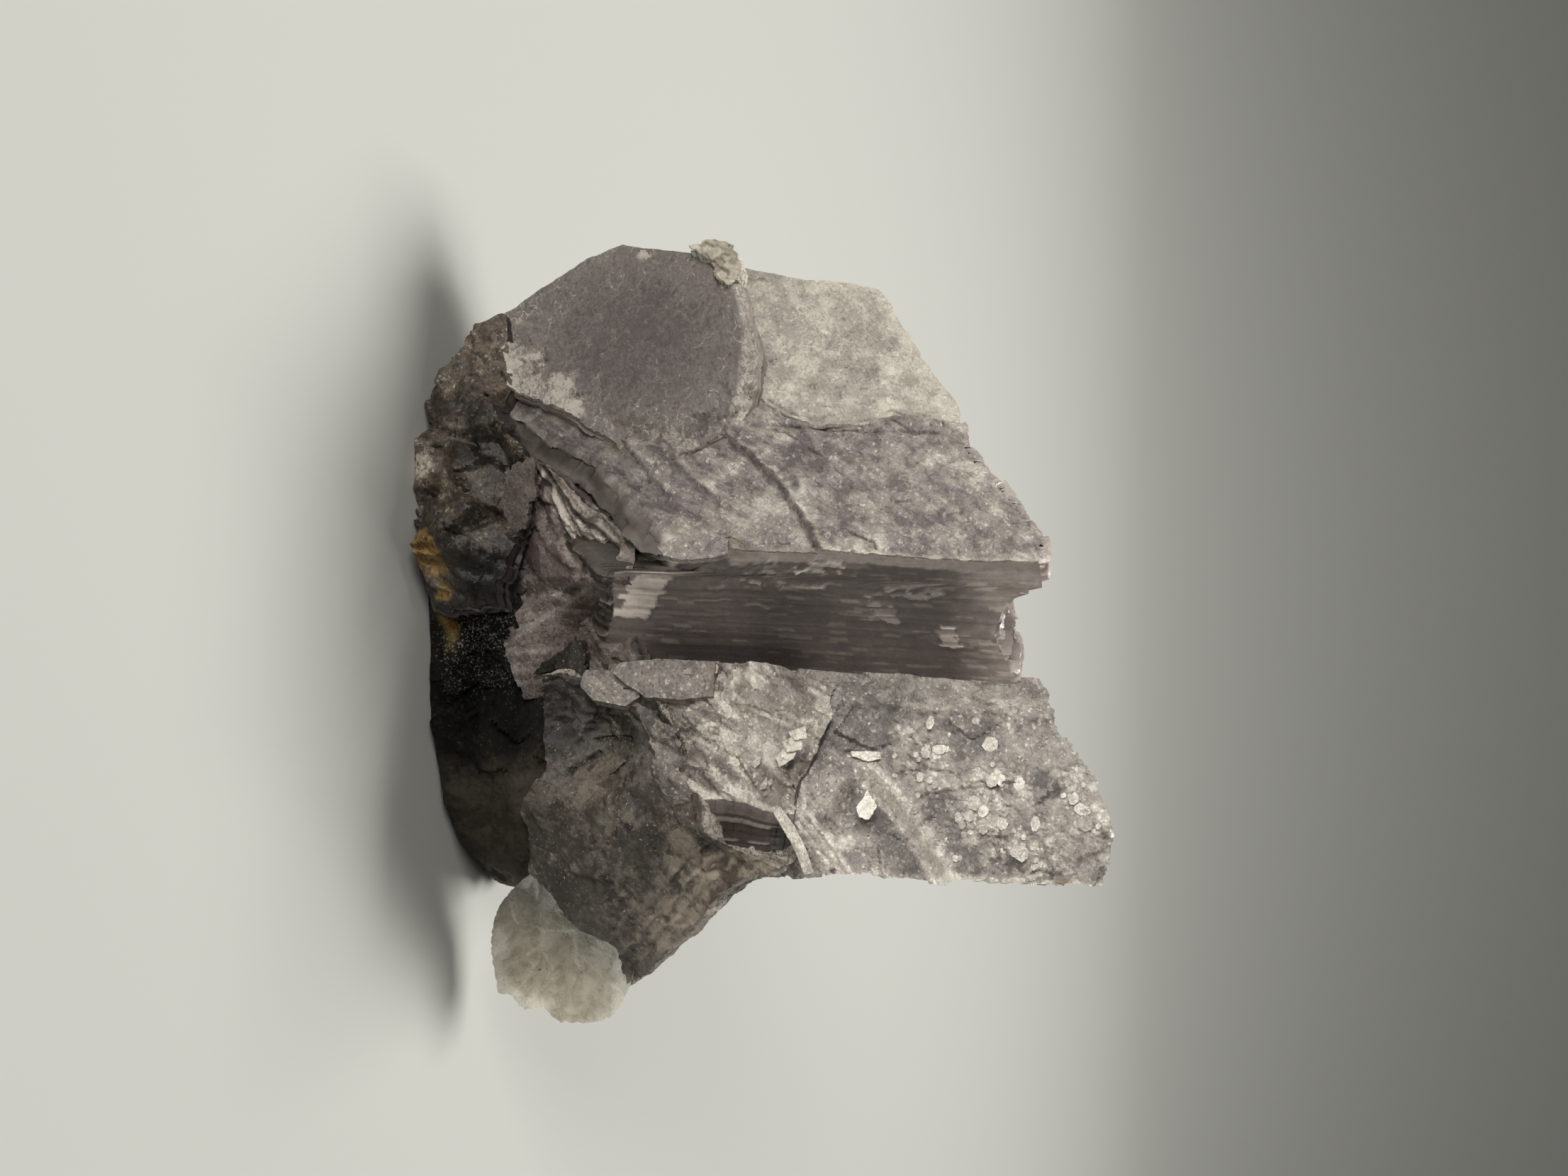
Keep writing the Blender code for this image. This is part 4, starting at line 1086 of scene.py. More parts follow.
def hexagon_front(a, b):
    """The hexagonal plate: dull and darkest in the middle, creamier at the rim, with fine pale
    veins; it sinks to meet the centre book, and is flaky and bright at the lower right."""
    s = Sheet(a, b, 61, 0.30)
    s.swell(0.25, 0.12, 0.10)
    s.swell(0.03, 0.7, 0.14, 4, 2)
    middle = np.hypot((a + 10.0) / 7.5, (b + 4.0) / 8.0)
    s.pearl = s.pearl + 0.30 * ease(0.55, 1.35, middle) - 0.12 * ease(1.0, 0.2, middle)
    rim = along([(-5.4, -13.0), (-3.4, -8.3), (-1.1, -4.4), (0.3, -1.0), (0.3, 2.2), (-1.9, 6.1),
                    (-3.9, 7.7)], a, b)[0]
    rim = rim + 0.5 * fbm(a * 0.6, b * 0.6, 0, 65, 4)
    upper = ease(-7.0, -1.0, b)
    s.h -= 1.3 * ease(3.0, 0.0, rim) * upper
    s.pearl += 0.22 * ease(3.4, 0.4, rim) * upper
    patch = spot(a, b, (-4.6, -8.8), 3.4, 0.5, 66) + spot(a, b, (-7.4, -12.6), 2.2, 0.5, 67)

    def flaky(x, y):
        return 0.95 * (spot(x, y, (-4.6, -8.8), 3.6, 0.2, 66) + spot(x, y, (-7.4, -12.6), 2.6, 0.2, 67))

    s.scaled(1.9, flaky, 0.28, 0.35, 0.18, crack=0.25)
    s.pearl += 0.55 * np.clip(patch, 0, 1)
    s.strokes(35, 0.06, 1.8, 0.35, 4.0, where=np.clip(patch, 0, 1))
    low = along([(-13.4, -16.0), (-10.6, -15.4), (-7.7, -14.4), (-5.9, -14.0)], a, b)[0]
    s.pearl += 0.7 * hump(low + 0.2 * fbm(a * 1.5, b * 1.5, 0, 68, 3), 0.45)
    s.h += 0.15 * hump(low + 0.2 * fbm(a * 1.5, b * 1.5, 0, 68, 3), 0.5)
    s.dab((-19.0, -3.6), 0.7, 0.8, height=0.1)
    # shelf: the top band, sunk and painted paler: painted light showing through the thin band
    shelf = along([(-18.7, 3.0), (-15.8, 4.7), (-14.4, 5.3), (-10.8, 6.5), (-7.3, 6.6), (-5.0, 6.4)],
                  a, b)[0] + 0.15 * fbm(a, b, 0, 69, 3)
    s.h -= 0.55 * ease(0.1, 1.6, shelf)
    s.pearl += 0.38 * ease(0.0, 0.5, shelf)
    s.shade *= 1 + 0.25 * ease(0.0, 0.5, shelf)
    return s


hexagon = Pile()
book(hexagon, HEXAGON, (
    (0.0, (
        [(-13.0, -16.1), (-10.6, -15.6), (-7.7, -14.5), (-5.9, -14.1)],
        [(-5.9, -14.1), (-5.4, -13.0), (-4.2, -10.4), (-3.4, -8.3), (-2.1, -6.1), (-1.1, -4.4), (0.1, -2.3),
         (0.4, -0.2), (0.3, 2.2), (-0.7, 4.4), (-1.9, 6.1), (-3.9, 7.5)],
        [(-17.3, 4.6), (-15.6, 5.9), (-12.9, 6.9), (-9.4, 8.1), (-5.9, 8.3), (-3.9, 7.5)],
        [(-13.0, -16.1), (-13.9, -14.8), (-15.9, -12.8), (-17.1, -10.9), (-18.5, -9.5), (-19.5, -7.3),
         (-20.2, -5.8), (-19.7, -3.5), (-19.4, -0.7), (-19.0, 2.1), (-18.3, 3.5), (-17.3, 4.6)])),
    (0.9, (
        [(-13.2, -16.5), (-10.6, -16.0), (-7.7, -15.0), (-5.7, -14.5)],
        [(-5.7, -14.5), (-5.0, -13.0), (-3.8, -10.4), (-3.0, -8.3), (-1.7, -6.1), (-0.7, -4.4), (0.5, -2.3),
         (0.8, -0.2), (0.7, 2.2), (-0.3, 4.5), (-1.5, 6.3), (-3.7, 7.9)],
        [(-17.7, 4.9), (-15.8, 6.3), (-12.9, 7.3), (-9.4, 8.5), (-5.9, 8.7), (-3.7, 7.9)],
        [(-13.2, -16.5), (-14.2, -15.0), (-16.3, -13.0), (-17.5, -11.1), (-18.9, -9.7), (-19.9, -7.5),
         (-20.6, -5.9), (-20.1, -3.5), (-19.8, -0.7), (-19.4, 2.3), (-18.7, 3.8), (-17.7, 4.9)])),
    (6.0, (
        [(-12.4, -15.4), (-10.2, -15.0), (-7.4, -14.0), (-5.2, -13.6)],
        [(-5.2, -13.6), (-4.6, -12.0), (-3.0, -9.6), (-2.0, -7.6), (-0.8, -5.4), (0.2, -3.8), (1.2, -2.0),
         (1.4, 0.0), (1.2, 2.2), (0.2, 4.4), (-1.2, 6.0), (-3.4, 7.4)],
        [(-16.2, 3.9), (-14.6, 5.2), (-12.2, 6.2), (-9.2, 7.4), (-5.9, 7.8), (-3.4, 7.4)],
        [(-12.4, -15.4), (-13.2, -13.8), (-15.0, -11.6), (-16.0, -9.9), (-17.2, -8.5), (-18.0, -6.7),
         (-18.6, -5.2), (-18.3, -3.2), (-18.2, -0.7), (-17.8, 1.7), (-17.2, 2.9), (-16.2, 3.9)])),
), spacing=0.22, seed=300, front=hexagon_front,
   wall=plain_wall(shade=1.15, pearl=0.8, seed=36, rate=0.4, amount=0.2), rag=(0.2, 0.35, 0.25, 0.14))
hexagonal_plate = hexagon.mesh("hexagonal_plate_leaves")

LEDGE = [(19.5, 6.4), (18.1, 5.6), (16.5, 4.4), (14.7, 3.1), (12.7, 1.7), (10.9, -0.2), (9.6, -1.7),
         (8.6, -3.4)]
LOWER_LEDGE = [(19.5, -3.4), (18.5, -4.1), (16.5, -5.5), (14.8, -7.0), (13.3, -8.6), (10.2, -9.2)]


def right_front(a, b):
    """The right book's face: a paler strip at the left, a quiet grey area, crowded bright scales
    at the upper right, and two ledges that run down to the left with the face lower under them."""
    s = Sheet(a, b, 71, 0.42)
    s.swell(0.40, 0.11, 0.20)
    s.swell(0.05, 0.8, 0.30, 3, 4)

    def busy(x, y):
        crowd = 0.0
        for at, size in (((6.3, 3.4), 3.0), ((9.7, 9.5), 3.6), ((13.5, 8.6), 4.2), ((15.5, 13.0), 4.6),
                         ((8.7, 15.3), 2.4), ((13.4, 18.2), 3.0), ((8.4, 2.0), 2.2)):
            crowd = np.maximum(crowd, hump(np.hypot(x - at[0], y - at[1]), size * 0.72))
        return 0.12 + 0.85 * crowd

    s.scaled(3.8, 0.8, 0.22, 0.14, 0.08, crack=0.10)
    crowd = busy(a, b)
    s.scaled(1.9, busy, 0.16, 0.30, 0.14, crack=0.25, seed=3)
    s.broken(1.5, 0.10, 0.34, 0.42, 0.40, where=crowd)
    s.broken(0.75, 0.05, 0.30, 0.42, 0.25, seed=6, where=crowd)
    # The crowded scales are painted paler: partly their own tone, partly painted sheen.
    s.pearl += 0.42 * crowd
    s.broken(1.3, 0.03, 0.10, 0.18, 0.08, seed=9, where=1 - crowd)
    s.strokes(55, 0.08, 1.5, 0.35, 4.0, where=ease(2.0, -4.0, b))
    strip = ease(3.7, 3.3, a + 0.25 * noise(b * 0.5, 0, 0, 77))
    s.h += 0.30 * strip
    s.pearl += 0.22 * strip * ease(0.0, 5.0, b)
    s.dab((9.5, 13.2), 1.4, -0.45, 0.82, height=-0.12)
    s.dab((5.0, 6.0), 3.0, -0.35, 0.85)
    s.dab((12.4, 5.0), 2.0, -0.4, 0.95)
    s.dab((16.3, 7.4), 1.5, -0.35, 0.95)
    s.dab((4.0, -2.0), 3.4, -0.28, 0.84)
    # The upper ledge's riser is painted lighter (shade 1.35) with a painted highlight along it, where it
    # would fall dark, and the hollow under it gets painted shade.
    d, ends = s.drop(LEDGE, 1.4, 1.5, 1.35, 0.25, 1, 0.12, lip=0.3)
    hollow = ease(0.6, 1.4, d) * ease(4.6, 2.0, d) * ends
    s.shade *= 1 - 0.30 * hollow
    s.pearl = s.pearl - 0.30 * hollow + 0.75 * hump(d + 0.2, 1.0) * ends
    # Each lower ledge's riser is painted lighter (shade 1.5) with a painted highlight along it, where it
    # would fall dark.
    for k in range(3):
        shifted = [(x - 0.25 * k, y + 0.62 * k) for x, y in LOWER_LEDGE]
        d, ends = s.drop(shifted, 0.30, 0.34, 1.5, 0.10, 2, 0.10, lip=0.9)
        s.pearl += 0.5 * hump(d, 0.3) * ends
    s.crack([(10.4, 6.4), (8.8, 5.8), (8.5, 3.3), (7.9, 2.1), (7.0, 1.0)], 0.08, 0.2, 0.45)
    s.crack([(13.2, 6.6), (13.9, 7.2), (14.0, 9.8), (14.8, 11.0)], 0.08, 0.2, 0.5)
    s.crack([(9.6, 8.4), (10.0, 5.9), (10.6, 3.4), (12.0, 1.8)], 0.08, 0.2, 0.5)
    s.crack([(17.0, 14.6), (16.6, 13.2), (16.9, 12.2)], 0.10, 0.3, 0.4)
    s.crack([(7.6, -1.0), (7.2, -4.6), (5.0, -7.6)], 0.08, 0.2, 0.6)
    s.dab((15.0, -3.3), 0.9, 0.8, height=0.12)
    s.dab((17.0, -0.2), 0.9, 0.4)
    s.pearl += 0.55 * ease(0.55, 0.1, 17.7 - a + 0.2 * noise(b, 0, 0, 78)) * ease(-4.0, 0.0, b)
    s.stain = np.maximum(s.stain, 0.85 * hump(a - 17.6, 0.35) * hump(b - 15.1, 0.8))
    s.dab((17.4, -4.3), 0.35, -0.5, 0.2)
    return s


right = Pile()
book(right, RIGHT, (
    (0.0, (
        [(1.0, -30.0), (9.0, -27.0), (16.0, -21.0), (18.4, -14.0)],
        [(18.4, -14.0), (18.0, -7.5), (17.6, -3.8), (17.7, 1.9), (18.0, 5.4), (17.9, 9.0), (17.6, 18.4)],
        [(-0.1, 11.9), (1.9, 13.0), (3.8, 13.4), (5.1, 14.3), (7.1, 16.2), (9.2, 17.4), (11.4, 18.5),
         (13.4, 19.1), (15.6, 18.9), (17.6, 18.4)],
        [(1.0, -30.0), (0.4, -25.3), (-0.1, -10.1), (0.0, 0.0), (-0.1, 11.9)])),
    (5.0, (
        [(1.0, -30.0), (9.0, -27.0), (15.0, -21.0), (16.4, -14.0)],
        [(16.4, -14.0), (16.0, -7.5), (15.6, -3.8), (15.7, 1.9), (16.0, 5.4), (15.9, 9.0), (15.9, 17.0)],
        [(0.3, 10.8), (2.1, 11.8), (4.0, 12.4), (5.3, 13.3), (7.0, 15.0), (8.8, 16.2), (10.8, 17.2),
         (12.4, 17.6), (14.2, 17.5), (15.9, 17.0)],
        [(1.0, -30.0), (0.8, -25.3), (0.5, -10.1), (0.4, 0.0), (0.3, 10.8)])),
    (13.5, (
        [(-4.0, -28.0), (3.0, -27.5), (8.0, -26.0), (10.0, -20.0)],
        [(10.0, -20.0), (11.0, -12.0), (11.5, -6.0), (11.8, 1.0), (11.6, 5.0), (11.0, 8.6), (10.0, 12.0)],
        [(-6.0, 5.8), (-4.0, 6.4), (-2.0, 6.8), (0.0, 7.2), (2.0, 8.2), (4.0, 9.6), (6.0, 11.0),
         (7.4, 11.6), (8.8, 12.0), (10.0, 12.0)],
        [(-4.0, -28.0), (-7.0, -22.0), (-9.0, -12.0), (-8.0, 0.0), (-6.0, 5.8)])),
), spacing=0.23, seed=400, front=right_front, wall=plain_wall(shade=1.0, pearl=0.5, seed=34),
   rag=(0.3, 0.28, 0.45, 0.15))
scraps(right, RIGHT, right_front, clusters(76, (
    (6.0, 3.6, 1.0, 8), (9.6, 9.0, 1.3, 12), (12.4, 8.2, 1.5, 12), (14.2, 12.2, 1.3, 12),
    (8.6, 15.0, 0.9, 4),
    (12.6, 16.6, 1.0, 5), (8.2, 1.8, 0.9, 5), (10.6, 3.2, 0.7, 4), (5.6, 8.2, 0.7, 4)), (0.25, 0.8)),
    79, lift=0.08, tilt=4.0, shade=1.0, pearl=1.15)


plate(right, RIGHT, [(10.8, -1.7), (12.2, -0.7), (13.4, -1.3), (13.3, -2.1), (12.4, -2.5), (11.5, -2.0)],
      thickness=0.25, front=bare(seed=83, pearl=1.5, shade=1.25), seed=83, rag=0.12, spacing=0.15,
      lift=0.55)
plate(right, RIGHT, [(7.3, -1.0), (7.9, -0.9), (8.2, -1.9), (7.8, -3.4), (7.4, -3.5)], thickness=0.25,
      front=bare(seed=84, pearl=1.25, shade=1.15), seed=84, rag=0.10, spacing=0.15, lift=0.30)
right_book = right.mesh("right_book_leaves")


def short_front(a, b):
    """The short book's face: long scales that climb to the right, stepping down towards the
    bottom, where it sinks and darkens; a smoother leaf at the upper left."""
    s = Sheet(a, b, 81, 0.48)
    s.swell(0.40, 0.15, 0.20)
    s.h = (s.h - 0.8 * ease(-15.0, -24.0, b - 0.15 * a)
           - 3.9 * ease(-10.6, -6.4, b + 0.14 * a - 0.6 * noise(a * 0.5, b * 0.5, 0, 188)))
    smooth = ease(6.4, 5.2, a) * ease(-13.5, -12.0, b)
    s.scaled(3.2, 0.9, 0.28, 0.22, 0.12, 1.8, 52, crack=0.05)
    s.scaled(1.5, 0.8, 0.20, 0.35, 0.22, 1.9, 56, 3, 0.12)
    s.strokes(56, 0.08, 1.6, 0.45, 5.0)
    s.broken(1.0, 0.04, 0.12, 0.15, 0.0, 2.0, 55)
    s.h += 0.6 * smooth
    s.pearl += 0.12 * smooth
    d = along([(5.1, -6.6), (5.9, -7.9), (6.0, -9.7), (5.4, -12.3), (3.8, -13.6), (1.4, -14.2)], a, b)[0]
    s.pearl += 0.6 * hump(d, 0.16)
    s.drop([(12.6, -11.4), (11.4, -12.6), (10.3, -14.4), (9.1, -16.6)], -0.4, 0.8, 0.85, 0.2, 3, 0.15)
    s.drop([(13.6, -12.6), (12.2, -14.2), (11.2, -16.2), (10.4, -17.6)], 0.35, 0.7, 0.8, 0.2, 4, 0.15)
    s.dab((8.8, -10.6), 1.4, 0.5)
    s.dab((9.0, -8.9), 0.75, -0.9, 0.62, height=-0.3, ragged=0.1)
    s.dab((13.4, -11.5), 1.6, 0.30)
    s.dab((3.0, -14.6), 1.2, 0.45)
    s.dab((11.0, -16.2), 0.9, 0.3)
    low = ease(-16.5, -22.0, b + 1.6 * fbm(a * 0.5, b * 0.5, 0, 88, 4) - 0.2 * a)
    s.strokes(62, 0.20, 1.5, 0.9, 7.0, 9, where=ease(-12.5, -15.0, b))
    s.shade *= 1.0 - 0.45 * low
    s.pearl = s.pearl - 0.40 * low + 0.6 * ease(0.45, 0.1, 13.2 - a) * ease(-16.0, -14.0, b)
    return s


def short_wall(leaf, depth, length, side, a, b):
    """The short book's walls: the right one dark, ruled with bright thin leaf ends."""
    own = lattice(leaf, 3, 0, 38) - 0.5
    right_wall = side == 1
    reach = noise(length * 0.7, leaf * 5.7, 0, 39) - 0.15 + 0.35 * ease(-10.5, -14.0, b)
    wiry = right_wall * (depth > 1.3) * (lattice(leaf, 1, 1, 39) > 0.62) * ease(-0.10, 0.10, reach)
    lip = right_wall * float(1 - ease(0.9, 1.2, depth))
    # hollow: painted shade in the hollow at the top of the right wall
    hollow = right_wall * ease(-10.5, -8.5, b) * ease(0.8, 1.6, depth)
    shade = (np.where(right_wall, 0.55, 0.9) * (1 + 0.2 * own) * (1 + 0.9 * wiry + 0.9 * lip)
             * (1 - 0.4 * hollow))
    return 0.08 * own + 0.06 * wiry, shade, 0.2 + 0.15 * own + 0.7 * wiry + 0.30 * lip, 0.0


short = Pile()
book(short, SHORT, (
    (0.0, (
        [(1.7, -26.4), (4.4, -26.0), (5.6, -22.0), (9.0, -19.9), (12.0, -19.3), (13.7, -17.4)],
        [(13.7, -17.4), (13.8, -15.8), (13.6, -12.0), (13.2, -7.8)],
        [(1.4, -5.4), (3.2, -5.6), (5.1, -5.5), (6.6, -6.2), (8.3, -6.7), (11.0, -7.8), (12.2, -7.7),
         (13.2, -7.8)],
        [(1.7, -26.8), (1.6, -23.9), (1.3, -14.0), (1.4, -5.4)])),
    (4.8, (
        [(1.4, -27.0), (4.5, -27.0), (6.5, -23.0), (10.0, -21.0), (14.0, -20.4), (17.6, -19.0)],
        [(17.6, -19.0), (17.8, -15.8), (17.6, -12.0), (17.2, -8.0)],
        [(0.8, -4.9), (3.2, -4.9), (5.1, -4.8), (6.6, -5.4), (8.3, -5.9), (11.5, -7.2), (14.0, -7.8),
         (17.2, -8.0)],
        [(1.4, -27.5), (0.9, -23.9), (0.6, -14.0), (0.6, -6.4)])),
), spacing=0.2, seed=500, front=short_front, wall=short_wall, rag=(0.35, 0.04, 0.3, 0.15), deep=0.6,
   leaves=(0.10, 0.24))


def tab_front(a, b):
    """A smooth pale leaf with a rusty upper end."""
    s = Sheet(a, b, 85, 0.52, 0.84)
    s.swell(0.08, 0.3, 0.15)
    s.strokes(84, 0.04, 1.4, 0.25)
    rusty = 0.8 * hump(b + 15.3 - 0.1 * a, 0.45)
    s.stain = np.maximum(s.stain, rusty * ease(0.0, 0.5, fbm(a * 1.2, b * 1.2, 0, 86, 3) + 0.45))
    s.shade *= 1 - 0.2 * ease(-17.0, -25.0, b)
    return s


# The tabs' side walls are painted lighter (wall_shade=1.7): painted light where they would fall dark.
plate(short, SHORT,
      [(1.5, -15.3), (4.7, -15.0), (5.1, -18.0), (5.1, -21.0), (3.7, -23.3), (3.0, -24.3), (2.0, -23.8),
       (1.5, -20.0)],
      thickness=1.6, front=tab_front, seed=87, rag=0.10, spacing=0.2, lift=0.8, wall_shade=1.7,
      thin_rim=0.25)
plate(short, SHORT, [(2.5, -23.7), (4.8, -21.7), (5.8, -22.8), (5.4, -25.8), (4.1, -27.3), (2.6, -27.1)],
      thickness=1.6, front=bare(seed=89, pearl=0.55, shade=0.70), seed=88, rag=0.10, spacing=0.2, lift=0.2,
      wall_shade=1.7, thin_rim=0.25)
scraps(short, SHORT, short_front, clusters(186, (
    (8.6, -10.8, 1.0, 6), (12.0, -10.6, 0.9, 8), (3.0, -14.6, 0.8, 6)), (0.25, 0.75)),
    189, lift=0.08, tilt=5.0, shade=0.95)
for k, corners in enumerate(([(6.8, -6.8), (7.9, -6.5), (8.1, -7.6), (7.4, -8.2)],
                             [(7.8, -7.0), (8.8, -6.9), (9.1, -8.1), (8.2, -8.6), (7.7, -7.9)],
                             [(8.8, -7.4), (9.6, -7.6), (10.3, -8.7), (9.5, -9.2), (8.7, -8.6)])):
    plate(short, RIGHT, corners, thickness=0.3, front=bare(seed=90 + k, pearl=1.3, shade=1.1), seed=91 + k,
          rag=0.08, spacing=0.15, lift=4.4 - 0.3 * k)
plate(short, RIGHT,
      [(13.4, -8.5), (14.8, -7.2), (16.8, -5.9), (18.9, -4.9), (19.1, -5.7), (17.2, -6.7), (15.2, -8.1),
       (14.0, -9.0)],
      thickness=0.4, front=bare(seed=196, pearl=1.0, shade=1.15), seed=197, rag=0.10, spacing=0.2, lift=2.6)
short_book = short.mesh("short_book_leaves")


# ---------------------------------------------------------------- the pieces round the foot

WING = Face((14.5, -15.5, 18.5), -12.0, -12.0)


def wing_front(a, b):
    """The grey wing: a dull bulging mass that falls back at the upper left to meet the short book, and
    steps down in thin leaves towards its upper right edge. It is painted darker towards the left, as
    painted shade where it falls back, and paler near the top edge: partly a pale crust, partly painted
    light showing through the thin edge. It has a ruled patch of leaf ends at the left and a thick
    sliver folded out beside it."""
    s = Sheet(a, b, 91, 0.40, 0.77)
    s.h = -0.012 * np.maximum(a, 0) ** 2 - 0.008 * np.minimum(a, 0) ** 2
    s.h -= 3.6 * ease(1.5, -6.0, a) * ease(-9.5, -2.5, b)
    s.swell(0.5, 0.15, 0.30)
    s.broken(4.2, 0.25, 0.10, 0.16, 0.0, 1.5, 30)
    s.broken(1.7, 0.08, 0.12, 0.14, 0.0, 1.4, 30, 3)
    s.swell(0.12, 0.9, 0.35, 4, 7)
    s.swell(0.05, 2.6, 0.45, 3, 8)
    s.strokes(-35, 0.06, 1.8, 0.45, 4.0, 9)
    edge = along([(4.5, 15.6), (5.8, 12.4), (7.6, 9.4), (9.7, 7.6), (11.8, 5.7), (13.6, 3.1),
                     (15.4, 1.5), (17.3, -0.7), (19.3, -3.4)], a, b)[0]
    for k, at in enumerate((1.2, 2.4, 3.8)):
        lip = edge + at + 0.5 * fbm(a * 0.5, b * 0.5, 0, 92 + k, 4)
        s.h -= 0.20 * ease(-0.12, 0.12, lip)
        s.pearl += 0.40 * hump(lip + 0.2, 0.25)
        # painted shade in a thin line just below each step
        s.shade *= 1 - 0.12 * hump(lip - 0.2, 0.2)
    s.strokes(130, 0.12, 1.4, 0.5, 5.0, 5, where=ease(-6.0, -3.0, edge))
    # crest: paler near the top edge, partly a pale crust, partly painted light through the thin edge
    crest = edge + 0.8 * fbm(a * 0.5, b * 0.5, 0, 292, 4)
    s.shade *= 1 + 1.3 * ease(-5.5, -0.3, crest) * ease(-3.0, 3.0, b)
    # painted shade, darker towards the left where the wing falls back to the short book
    s.shade *= 1 - 0.50 * ease(0.5, -6.0, a)
    for at, size, pearl, shade in (
            ((3.6, 6.8), 1.6, 0.6, 1.2), ((5.2, 5.4), 1.0, 0.5, 1.2), ((7.0, 4.0), 1.3, 0.4, 1.1),
            ((9.2, 1.2), 1.4, 0.35, 1.1), ((5.6, 8.6), 1.6, 0.4, 1.2), ((10.0, 5.0), 1.8, 0.3, 1.2),
            ((1.2, 1.2), 1.0, 0.35, 1.1), ((1.8, -0.9), 0.8, 0.4, 1.1), ((-1.6, 4.0), 2.2, 0.15, 1.1),
            ((3.2, 3.6), 1.6, -0.5, 0.8), ((2.5, 1.5), 0.9, -0.5, 0.8), ((7.2, 5.4), 0.7, -0.8, 0.7),
            ((-0.2, -2.6), 1.2, 0.25, 1.2), ((12.6, 0.4), 1.6, -0.3, 0.9), ((9.0, -5.6), 2.0, -0.3, 0.8)):
        s.dab(at, size, pearl, shade)
    s.crack([(-4.5, 0.6), (-4.4, -1.8), (-4.0, -4.0)], 0.14, 0.5, 0.25, 0.05)
    s.crack([(-3.2, -2.6), (-2.2, -4.4), (-1.0, -5.2)], 0.18, 0.5, 0.3, 0.10)
    ruled = ease(-6.6, -6.0, a) * ease(-4.2, -4.8, a) * ease(-4.8, -4.0, b) * ease(0.6, -0.4, b)
    s.h -= 0.4 * ruled
    s.strokes(86, 0.12, 2.2, 0.6, 8.0, where=ruled)
    s.shade *= 1 - 0.25 * ruled
    s.shade = (s.shade * (1 - 0.30 * ease(-4.0, -8.5, b))
               * (1 - 0.25 * ease(-3.5, -5.5, b) * ease(-1.0, -3.5, a)))
    return s


wing = Pile()
# The wing's walls are painted paler (shade=1.5): painted light on its thin rim, where they would fall dark.
book(wing, WING, (
    (0.0, (
        [(-10.1, -7.4), (-7.2, -7.6), (-4.7, -7.4), (-2.0, -7.0), (-0.4, -8.1), (1.7, -9.8), (3.3, -9.1),
         (5.7, -9.3), (7.8, -9.8)],
        [(7.8, -9.8), (10.1, -7.9), (12.6, -7.1), (13.5, -5.8), (14.2, -3.2), (16.5, -3.1), (19.1, -3.2)],
        [(-8.4, 2.0), (-4.9, 5.2), (-2.4, 7.2), (-0.4, 8.9), (1.5, 9.2), (3.6, 9.4), (4.1, 11.6),
         (4.5, 15.6), (5.3, 14.8), (5.8, 12.4), (7.6, 9.4), (9.7, 7.6), (11.8, 5.7), (13.6, 3.1),
         (15.4, 1.5), (17.3, -0.7), (19.1, -3.2)],
        [(-10.1, -7.4), (-9.9, -5.2), (-9.3, -4.2), (-9.0, -1.6), (-8.4, 2.0)])),
    (1.4, (
        [(-10.1, -7.2), (-7.2, -7.3), (-4.7, -7.1), (-2.0, -6.7), (-0.4, -7.8), (1.7, -9.4), (3.3, -8.8),
         (5.7, -9.0), (7.8, -9.4)],
        [(7.8, -9.4), (9.9, -7.7), (12.2, -6.9), (13.1, -5.8), (13.8, -3.4), (16.4, -3.4), (19.3, -3.2)],
        [(-8.4, 2.4), (-4.9, 5.6), (-2.4, 7.6), (-0.4, 9.3), (1.5, 9.6), (3.6, 9.9), (4.1, 12.0),
         (4.5, 16.2), (5.5, 15.4), (6.2, 12.8), (8.0, 9.8), (10.2, 8.0), (12.3, 6.0), (14.0, 3.5),
         (15.8, 1.8), (17.6, -0.5), (19.3, -3.2)],
        [(-10.1, -7.2), (-9.9, -5.2), (-9.3, -4.2), (-9.0, -1.6), (-8.4, 2.4)])),
    (11.0, (
        [(-9.0, -4.0), (-7.2, -4.0), (-4.7, -4.0), (-2.0, -4.0), (-0.4, -4.2), (1.7, -4.2), (3.3, -4.2),
         (5.7, -4.2), (7.8, -4.2)],
        [(7.8, -4.2), (9.2, -4.0), (10.6, -3.6), (11.2, -3.0), (11.8, -2.2), (13.0, -1.4), (14.4, -0.8)],
        [(-6.4, 4.0), (-4.9, 6.4), (-2.4, 8.0), (-0.4, 9.4), (1.5, 9.8), (3.4, 10.2), (3.8, 11.8),
         (4.4, 14.4), (5.0, 13.6), (5.6, 12.0), (6.8, 9.8), (8.4, 8.0), (10.0, 6.0), (11.4, 4.0),
         (12.6, 2.4), (13.6, 0.8), (14.4, -0.8)],
        [(-9.0, -4.0), (-8.4, -3.0), (-7.0, -2.0), (-6.4, 0.0), (-6.4, 4.0)])),
), spacing=0.2, seed=600, front=wing_front,
   wall=plain_wall(shade=1.5, pearl=0.6, seed=93, rate=0.4, amount=0.3), rag=0.22, rag_size=0.9, deep=1.3)


def sliver_front(a, b):
    """A thick sliver of leaf: pale, ruled along its length."""
    s = Sheet(a, b, 191, 0.65, 1.1)
    s.h = -0.5 * ((a + 2.2) * 0.85 + (b + 2.0) * 0.5) ** 2 / 1.6
    s.strokes(-58, 0.10, 2.4, 0.8, 6.0)
    return s


